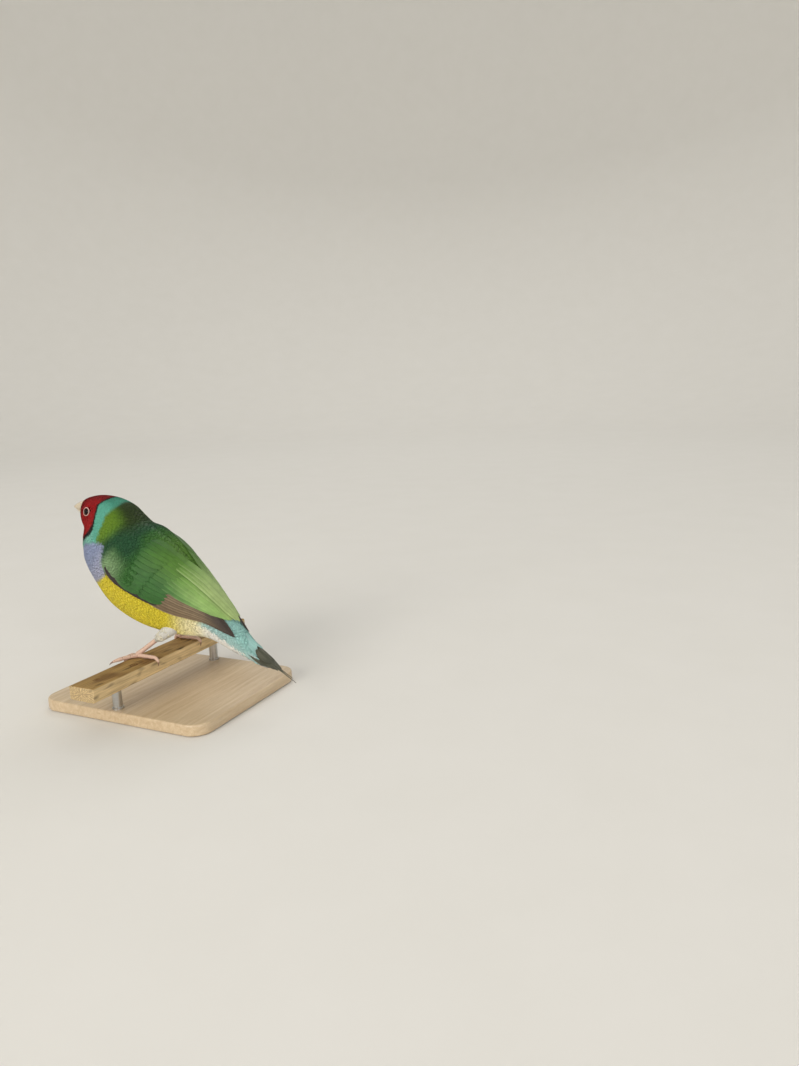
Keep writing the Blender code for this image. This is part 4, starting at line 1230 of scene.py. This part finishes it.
def toePath(start, heading, length, side, grip, edge, steps=44):
    turn = math.radians(heading)
    way = np.array([-math.cos(turn), side * math.sin(turn), 0.0])
    down = np.array([0.0, 0.0, -1.0])
    point = np.array(start, float)
    points = [point]
    bend = 0.0
    for _ in range(steps):
        if abs(point[0]) > edge - 0.8:
            bend = min(bend + math.radians(legPlan["bendPerMm"]) * grip * length / steps,
                       math.radians(legPlan["mostBend"]) * grip)
        point = point + (way * math.cos(bend) + down * math.sin(bend)) * length / steps
        points.append(point)
    return points


# Overlapping plates: the radius steps up at the start of each scute on the upper side
def scuteStep(run, pitch, topness):
    phase = (run / pitch) % 1.0
    return 0.10 * (1 - phase) * max(0.0, topness) - 0.05 * (phase > 0.9)


def toeRadius(run, share, topness):
    pads = 0.10 * math.sin(2 * math.pi * run / 3.4) * max(0.0, -topness)
    base = legPlan["toe"] * np.interp(share, (0, .2, .75, .93, 1.0), (1.05, 1.0, .88, .72, .5))
    return base * (1 + scuteStep(run, legPlan["toeScute"], topness) + pads)


def shankRadius(run, share, topness):
    base = legPlan["tarsus"] * np.interp(share, (0, .1, .35, .8, .95, 1), (1.25, 1.1, .95, .95, 1.15, 1.0))
    return base * (1 + scuteStep(run, legPlan["scute"], topness) * 1.2)


def clawRadius(run, share, topness):
    return 0.44 * (1 - share) ** 0.75 + 0.03


def scuteTone(pitch):
    def tone(run, share, topness):
        seam = ease(0.82, 0.97, (run / pitch) % 1.0) * max(0.0, topness + 0.3)
        colour = blend(legTones["flesh"], legTones["edge"], min(1.0, seam))
        return blend(colour, legTones["pad"], ease(0.0, 0.8, -topness))
    return tone


def clawTone(run, share, topness):
    return blend(legTones["claw"], legTones["clawTip"], ease(0.3, 1.0, share))


def makeFoot(side, name):
    plan = legPlan
    sole, heel = (np.array(plan[spot]) * (-1, side, 1) for spot in ("foot", "heel"))
    hub = np.array([sole[0], sole[1], plan["gap"] + plan["toe"] * 1.06])
    halfWidth = (perchHigh.x - perchLow.x) / 2 / mm
    toes = [(*toe, halfWidth - feetAhead) for toe in plan["front"]]
    toes.append((180.0, plan["hallux"], 1.0, halfWidth + feetAhead))
    limbs, nails = [], []
    for heading, length, grip, edge in toes:
        path = toePath(hub, heading, length, side, grip, edge)
        cut = int(round(len(path) * (1 - plan["claw"] / length)))
        limbs.append(limbShape(path[:cut + 1], toeRadius, scuteTone(plan["toeScute"])))
        way = unit(path[cut] - path[cut - 1])
        # a claw curls down, and one that points down already curls back under the perch
        if abs(way[2]) < 0.95:
            down = unit(np.array([0.0, 0.0, -1.0]) + way * way[2])
        else:
            down = np.array([1.0 if heading < 90 else -1.0, 0.0, 0.0])
        reach = plan["claw"] * 0.93
        claw = [path[cut] + way * (reach * math.sin(s) - 0.5) + down * reach * 0.45 * (1 - math.cos(1.3 * s))
                for s in np.linspace(0, 1, 16)]
        nails.append(limbShape(claw, clawRadius, clawTone, 12))
    way = unit(sole - heel)
    top = heel - way * 1.5
    length = np.linalg.norm(sole - top) + 0.5
    shank = [top + way * length * s for s in np.linspace(0, 1, 90)]
    limbs.append(limbShape(shank, shankRadius, scuteTone(plan["scute"]), 22))
    palm = [hub + np.array(step) * (1, side, 1) for step in plan["palm"]]
    limbs.append(limbShape(palm, lambda run, share, topness: 1.02 - 0.3 * abs(share - 0.45), scuteTone(0.9)))
    finishPiece(piecesOf("claws" + name, nails), clawHorn, "skin")
    label = name.lower()
    finishPiece(piecesOf("leg" + name, limbs), scutedSkin, "skin", ("leg_" + label, "foot_" + label))
    makeThigh(name, heel, way)


# Thigh: millimetres past the heel with the radius there, and the feathers' lengths from top to heel
thighPlan = {
    "rings": ((-10.0, 4.2), (-4.6, 4.0), (-0.2, 3.0), (5.6, 1.3)), "reach": (0, .4, .8, 1), "coreShare": 0.8,
    "feathers": 1000, "lengths": (4.0, 2.2), "width": 0.5, "lift": 0.15, "sink": 0.25, "seed": 61,
}


# Soft feathers of the thigh, which hang from the belly down to the heel
def makeThigh(name, heel, way):
    plan = thighPlan
    rng = np.random.default_rng(plan["seed"])
    top, end = (heel + way * plan["rings"][i][0] for i in (0, -1))
    radii = np.array(plan["rings"])[:, 1] * plan["coreShare"]
    # the core under the thigh feathers is painted at six tenths of white, as painted shade under them
    core = limbShape([top + (end - top) * s for s in np.linspace(0, 0.9, 12)],
                     lambda run, share, topness: float(np.interp(share, plan["reach"], radii)),
                     lambda run, share, topness: plumageColours["white"] * 0.6, 20)
    finishPiece(piecesOf("thighCore" + name, [core]), downySkin, "feathers_yellow")
    count = plan["feathers"]
    share = rng.uniform(0.0, 1.0, count)
    turn = rng.uniform(0, 2 * math.pi, count)
    across = unit(np.cross(way, (0.0, 1.0, 0.0)))
    centre = top + (end - top) * share[:, None] * 0.86
    out = across * np.cos(turn)[:, None] + np.cross(way, across) * np.sin(turn)[:, None]
    radius = np.interp(share, plan["reach"], radii)
    length = np.interp(share, (0, 1), plan["lengths"]) * rng.uniform(0.85, 1.1, count)
    run = (length[:, None] * np.linspace(0, 1, 6))[..., None]
    line = centre[:, None] + out[:, None] * (radius[:, None, None] - 0.25) + (way - out[:, None] * 0.1) * run
    flat = np.broadcast_to(np.cross(out, way)[:, None], line.shape)
    outs = np.broadcast_to(out[:, None], line.shape)
    size = {"length": length, "width": length * plan["width"], "lift": plan["lift"], "sink": plan["sink"]}
    tone = blend(plumageColours["cream"], plumageColours["white"], share[:, None])
    home = 0.03 + 0.94 * np.stack([share, turn / (2 * math.pi)], -1)
    piece = tuftPiece("thighCoat" + name, line, flat, outs,
                      lambda at: np.broadcast_to(tone[:, None, None], (*at.shape, 3)), home, size, rng)
    finishPiece(piece, silkyPlumage, "feathers_yellow")


makeFoot(-1, "Left")
makeFoot(1, "Right")
print("legs and feet made")

# Perch

# Roughly sawn softwood, weathered and handled: dry matt grain, stained on top, browner on top partly from
# weathering, with the front painted paler as painted light
sawnPine, tree, shader = newMaterial("sawnWeatheredPine", {
    "Roughness": 0.82, "IOR": 1.45, "Specular IOR Level": 0.3})
# streaks 0.9 mm wide run the length of the perch, with fibres of a quarter of a millimetre on them
streaks = grain(tree, (0.9, 28, 0.9), 6.0, Roughness=0.6, Distortion=0.3)
fibres = grain(tree, (0.25, 5, 0.25), 3.0)
together = addNode(tree, "Math", {"operation": "ADD"}, {0: streaks, 1: fibres})
dress(tree, shader, [(streaks, middling, (0.66, 1.16)), (fibres, middling, (0.88, 1.08))],
      (together.outputs[0], 0.55, 0.25))

perchPlan = {
    "lengthSteps": 420, "topSteps": 44, "sideSteps": 22, "edgeRound": 0.7, "rough": 0.10, "dents": 0.30,
    # knots in the top: place along and across the perch, and size
    "knots": ((-22.0, 1.2, 2.1), (14.0, -2.0, 1.6), (36.0, 1.5, 2.4), (-41.0, -1.0, 1.4)),
    # the sawn ends: size of each ring of points, and where the tree's pith was from their middle
    "endRings": (0.93, 0.72, 0.45, 0.15), "pith": (-9.0, -14.0),
}
perchColours = hexColours({"top": "#a28350", "front": "#d6bb8c", "stain": "#63401f"})


# How far the weathered wood stands out at a point of the perch, and its colour there. Dents are
# deepest on the rounded edges.
def woodSurface(x, y, z, top, edgeShare):
    plan, stain = perchPlan, perchColours["stain"]
    ridge = noise.noise(Vector((x * 0.55, y * 0.05, z * 0.55)) * 1.6)
    broad = noise.noise(Vector((x * 0.12, y * 0.045, z * 0.12 + 7.0)))
    chip = max(0.0, noise.noise(Vector((x * 0.5, y * 0.16, z * 0.5 + 3.0))) - 0.28)
    depth = plan["rough"] * ridge - plan["dents"] * chip * (0.6 + 1.6 * edgeShare) + 0.06 * broad
    depth = min(depth, 0.12) - (0.10 if z > top - plan["edgeRound"] else 0.0)
    isTop = ease(top - 0.6, top - 0.1, z)
    blotch = ease(0.08, 0.42, noise.noise(Vector((x * 0.16, y * 0.07, z * 0.1 + 11.0))))
    # painted light and shade: the front takes a paler lit tone and the top a browner one, which is partly
    # real weathering
    tone = blend(perchColours["front"], perchColours["top"], isTop)
    tone = blend(tone, stain, blotch * (0.55 * isTop + 0.08))
    for knotY, knotX, size in plan["knots"]:
        away = math.hypot((y - knotY) / 1.5, x - knotX) + 0.25 * noise.noise(Vector((x, y, 2.0)))
        ring = ease(size, size * 0.5, away) * isTop
        tone = blend(tone, stain, ring * (0.7 + 0.3 * math.sin(away * 7.0)))
        depth -= 0.12 * ring
    # the tone is darker in the dents and grooves and paler on the ridges
    return depth, tone * (1 + 0.10 * ridge - 1.6 * chip)


def makePerch():
    plan = perchPlan
    low = np.array([(perchLow[k] - birdZero[k]) / mm for k in range(3)])
    high = np.array([(perchHigh[k] - birdZero[k]) / mm for k in range(2)] + [0.0])
    centre, half = (low + high) / 2, (high - low) / 2
    corners = np.array([(low[0], low[2]), (high[0], low[2]), (high[0], high[2]), (low[0], high[2])])
    steps = (plan["topSteps"], plan["sideSteps"]) * 2
    outline = np.concatenate([blend(corners[i], corners[(i + 1) % 4], np.arange(steps[i])[:, None] / steps[i])
                              for i in range(4)])
    # rounds the four edges by pulling points on to an eased rectangle
    rounding = plan["edgeRound"]
    local = outline - centre[[0, 2]]
    inner = half[[0, 2]] - rounding
    overflow = np.maximum(np.abs(local) - inner, 0)
    reach = np.linalg.norm(overflow, axis=1)
    pull = np.where(reach > rounding, rounding / np.maximum(reach, 1e-9), 1.0)
    local = np.sign(local) * (np.minimum(np.abs(local), inner) + overflow * pull[:, None])
    push = overflow * np.sign(local) + 1e-6 * local
    outward = unit(np.stack([push[:, 0], 0 * reach, push[:, 1]], -1))
    along = np.linspace(low[1], high[1], plan["lengthSteps"])
    count = len(local)
    points = np.zeros((len(along), count, 3))
    tones = np.zeros((len(along), count, 3))
    for i, y in enumerate(along):
        for j, (x, z) in enumerate(local):
            edgeShare = min(1.0, reach[j] / rounding) if overflow[j].min() > 0 else 0.0
            depth, tones[i, j] = woodSurface(x, y, z, half[2], edgeShare)
            points[i, j] = (centre[0] + x, y, centre[2] + z) + outward[j] * depth
    # sawn ends, a little ragged
    faces = splitQuads(ringFaces(len(along), count))
    rings, shades = [points.reshape(-1, 3)], [tones.reshape(-1, 3)]
    total = len(along) * count
    for level, sign in ((0, -1), (len(along) - 1, 1)):
        ring, base = points[level], level * count
        for scale in plan["endRings"]:
            inside = centre + (ring - centre) * (scale, 1, scale)
            ragged = [noise.noise(Vector((x, z, 3.0 * sign))) for x, _, z in inside]
            inside[:, 1] = ring[:, 1] + sign * (0.05 + 0.12 * np.array(ragged))
            fromPith = np.linalg.norm(inside[:, [0, 2]] - centre[[0, 2]] - plan["pith"], axis=1)
            rings.append(inside)
            shades.append(perchColours["front"] * (0.72 + 0.2 * np.sin(9 * fromPith))[:, None])
            faces += splitQuads([(base + k, base + (k + 1) % count, total + (k + 1) % count, total + k)
                                 for k in range(count)])
            base, total = total, total + count
        rings.append([inside.mean(0)])
        shades.append([perchColours["front"] * 0.6])
        faces += closeRing(base, count, total)
        total += 1
    piece = meshPiece("perchWood", np.concatenate(rings), faces)
    faceOutward(piece)
    paint(piece, np.concatenate(shades))
    finishPiece(piece, sawnPine, "perch_wood", ("perch",))


makePerch()
print("perch made")

# Stand

# Maple board, planed, sanded and satin lacquered: pale close grain under an even soft gloss
lacqueredMaple, tree, shader = newMaterial("satinLacqueredMaple", {
    "Roughness": 0.42, "IOR": 1.5, "Coat Weight": 0.35, "Coat Roughness": 0.22})
# growth lines 2.2 mm apart on the board's face, and pores 0.3 mm wide
boardGrain = grain(tree, (2.2, 45, 2.2), 8.0, Roughness=0.62, Distortion=0.8)
pores = grain(tree, (0.3, 3.0, 0.3), 2.0)
mapleTone = addNode(tree, "MapRange", None, {"Value": boardGrain, "From Min": 0.3, "From Max": 0.7})
mapleMix = addNode(tree, "Mix", {"data_type": "RGBA"}, {
    "Factor": mapleTone.outputs["Result"], 6: rgba("#b39a78"), 7: rgba("#cfbb9b")})
dress(tree, shader, [(pores, (0.3, 0.5), (0.9, 1.0))], (pores, 0.15, 0.06), mapleMix.outputs[2])

# Stainless rod, turned and brushed round: bright satin metal with fine rings
brushedSteel, tree, shader = newMaterial("brushedStainlessSteel", {"Metallic": 1.0, "Roughness": 0.3})
brush = grain(tree, (6, 6, 0.12), 3.0)      # rings 0.12 mm apart
steelMix = addNode(tree, "Mix", {"data_type": "RGBA"}, {
    "Factor": brush, 6: rgba("#a9a8a5"), 7: rgba("#cfcdc9")})
dress(tree, shader, [], (brush, 0.12, 0.02), steelMix.outputs[2])

standPlan = {"corner": 8.0, "edge": 1.0, "sides": 72, "collar": 0.45, "collarHeight": 0.9}


def makeBase():
    low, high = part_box("stand_base")
    work = bmesh.new()
    bmesh.ops.create_cube(work, size=1.0)
    bmesh.ops.scale(work, vec=high - low, verts=work.verts)
    tall = (high.z - low.z) * 0.9
    upright = [line for line in work.edges if abs(line.verts[0].co.z - line.verts[1].co.z) > tall]
    bmesh.ops.bevel(work, geom=upright, offset=standPlan["corner"] * mm, segments=16, profile=0.5,
                    affect="EDGES")
    sharp = [line for line in work.edges if line.calc_face_angle() > math.radians(60)]
    bmesh.ops.bevel(work, geom=sharp, offset=standPlan["edge"] * mm, segments=5, profile=0.6, affect="EDGES")
    bmesh.ops.translate(work, vec=(low + high) / 2, verts=work.verts)
    mesh = bpy.data.meshes.new("standBoard")
    work.to_mesh(mesh)
    work.free()
    mesh.shade_smooth()
    mesh.set_sharp_from_angle(angle=math.radians(35))
    finishPiece(addObject("standBoard", mesh), lacqueredMaple, "stand_wood", ("stand_base",))


def makeRod(name, node):
    low, high = (np.array([(corner[k] - birdZero[k]) / mm for k in range(3)]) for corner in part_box(node))
    x, y, _ = (low + high) / 2
    radius = (high[0] - low[0]) / 2
    bottom, top = low[2] - 0.3, high[2] + 0.3
    collar, tall = radius + standPlan["collar"], standPlan["collarHeight"]
    profile = ((collar, bottom), (collar, bottom + tall - 0.25), (collar - 0.2, bottom + tall),
               (radius, bottom + tall), (radius, top - tall), (collar - 0.2, top - tall),
               (collar, top - tall + 0.25), (collar, top))
    sides, levels = standPlan["sides"], len(profile)
    turns = np.linspace(0, 2 * math.pi, sides, endpoint=False)
    points = [(x + reach * math.cos(turn), y + reach * math.sin(turn), up)
              for reach, up in profile for turn in turns]
    points += [(x, y, bottom), (x, y, top)]
    end = levels * sides
    faces = splitQuads(ringFaces(levels, sides))
    faces += closeRing(0, sides, end) + closeRing(end - sides, sides, end + 1)
    piece = meshPiece(name, np.array(points), faces)
    faceOutward(piece)
    piece.data.set_sharp_from_angle(angle=math.radians(30))
    finishPiece(piece, brushedSteel, "stand_metal", (node,))


makeBase()
makeRod("standRodLeft", "stand_rod_left")
makeRod("standRodRight", "stand_rod_right")
print("stand made")

# Floor, light and camera

# The floor runs flat and then curves up into a wall all round, so that no horizon shows
stagePlan = {"flat": 1.5, "curve": 1.1, "wall": 2.4, "world": "#eae9e6", "worldStrength": 0.75, "sides": 96}

# Studio sweep of matt painted board: an even pale ground with the faintest tooth
paintedBoard, tree, shader = newMaterial("mattPaintedBoard", {"Roughness": 0.9, "Specular IOR Level": 0.15})
boardMix = addNode(tree, "Mix", {"data_type": "RGBA"}, {
    "Factor": grain(tree, 40, 3.0), 6: rgba("#dad8d2"), 7: rgba("#dedcd7")})
dress(tree, shader, [], None, boardMix.outputs[2])


def makeStage():
    plan = stagePlan
    profile = [(0.3, 0.0), (0.8, 0.0), (plan["flat"], 0.0)]
    for turn in np.linspace(0, math.pi / 2, 13)[1:]:
        profile.append((plan["flat"] + plan["curve"] * math.sin(turn), plan["curve"] * (1 - math.cos(turn))))
    profile.append((plan["flat"] + plan["curve"], plan["wall"]))
    sides = plan["sides"]
    turns = np.linspace(0, 2 * math.pi, sides, endpoint=False)
    points = [(0.0, 0.0, 0.0)]
    points += [(reach * math.cos(turn), reach * math.sin(turn), up)
               for reach, up in profile for turn in turns]
    faces = [(0, 1 + k, 1 + (k + 1) % sides) for k in range(sides)]
    faces += [tuple(int(i) for i in face) for face in ringFaces(len(profile), sides, 1)[:, ::-1]]
    mesh = bpy.data.meshes.new("studioFloor")
    mesh.from_pydata([(x, y, z - 0.0002) for x, y, z in points], [], faces)
    mesh.shade_smooth()
    mesh.materials.append(paintedBoard)
    floor = addObject("studioFloor", mesh)
    faceOutward(floor)
    world = bpy.data.worlds.new("studio")
    bpy.context.scene.world = world
    world.use_nodes = True
    sky = world.node_tree.nodes["Background"]
    sky.inputs["Color"].default_value = rgba(plan["world"])
    sky.inputs["Strength"].default_value = plan["worldStrength"]


# Soft boxes: place in metres, size, watts and colour
lightPlan = {
    "key": ((-0.15, -1.70, 0.80), 1.0, 21.0, "#fffaf3"),
    "fill": ((1.55, -1.20, 0.80), 1.1, 13.0, "#fbfbff"),
    "back": ((-0.50, 1.50, 1.70), 1.2, 9.0, "#ffffff"),
}


def makeLights():
    target = Vector(toModel((0, 0, 40)))
    for name, (spotAt, size, power, colour) in lightPlan.items():
        data = bpy.data.lights.new(name, "AREA")
        data.size = size
        data.energy = power
        data.color = tuple(hexColour(colour))
        lamp = addObject(name, data)
        lamp.location = spotAt
        lamp.rotation_euler = (target - Vector(spotAt)).to_track_quat("-Z", "Y").to_euler()
        lamp.visible_camera = False


# The photograph's view: a short lens from a little above, behind the bird's left shoulder
cameraPlan = {
    "width": 799, "height": 1066, "focalPixels": 815.0, "pitch": 10.89, "roll": 2.37, "heading": 26.0,
    "distance": 388.0, "feetPixel": (165, 648),
}


def makeCamera():
    plan = cameraPlan
    turn, pitch, roll = (math.radians(plan[k]) for k in ("heading", "pitch", "roll"))
    level = Vector((-math.sin(turn), math.cos(turn), 0))
    ahead = level * math.cos(pitch) - Vector((0, 0, 1)) * math.sin(pitch)
    flatRight = level.cross(Vector((0, 0, 1)))
    flatUp = flatRight.cross(ahead)
    right = flatRight * math.cos(roll) - flatUp * math.sin(roll)
    up = flatUp * math.cos(roll) + flatRight * math.sin(roll)
    x = (plan["feetPixel"][0] - plan["width"] / 2) / plan["focalPixels"]
    y = (plan["feetPixel"][1] - plan["height"] / 2) / plan["focalPixels"]
    ray = (ahead + right * x - up * y).normalized()
    data = bpy.data.cameras.new("photoView")
    data.sensor_width = 36.0
    data.lens = plan["focalPixels"] / plan["height"] * data.sensor_width
    data.clip_start = 0.01
    camera = addObject("photoView", data)
    where = Vector(toModel((0, 0, 0))) - ray * plan["distance"] * mm
    camera.matrix_world = Matrix.Translation(where) @ Matrix((right, up, -ahead)).transposed().to_4x4()
    bpy.context.scene.camera = camera


makeStage()
makeLights()
makeCamera()
bpy.context.scene.view_settings.view_transform = "Standard"
print("stage, lights and camera made")
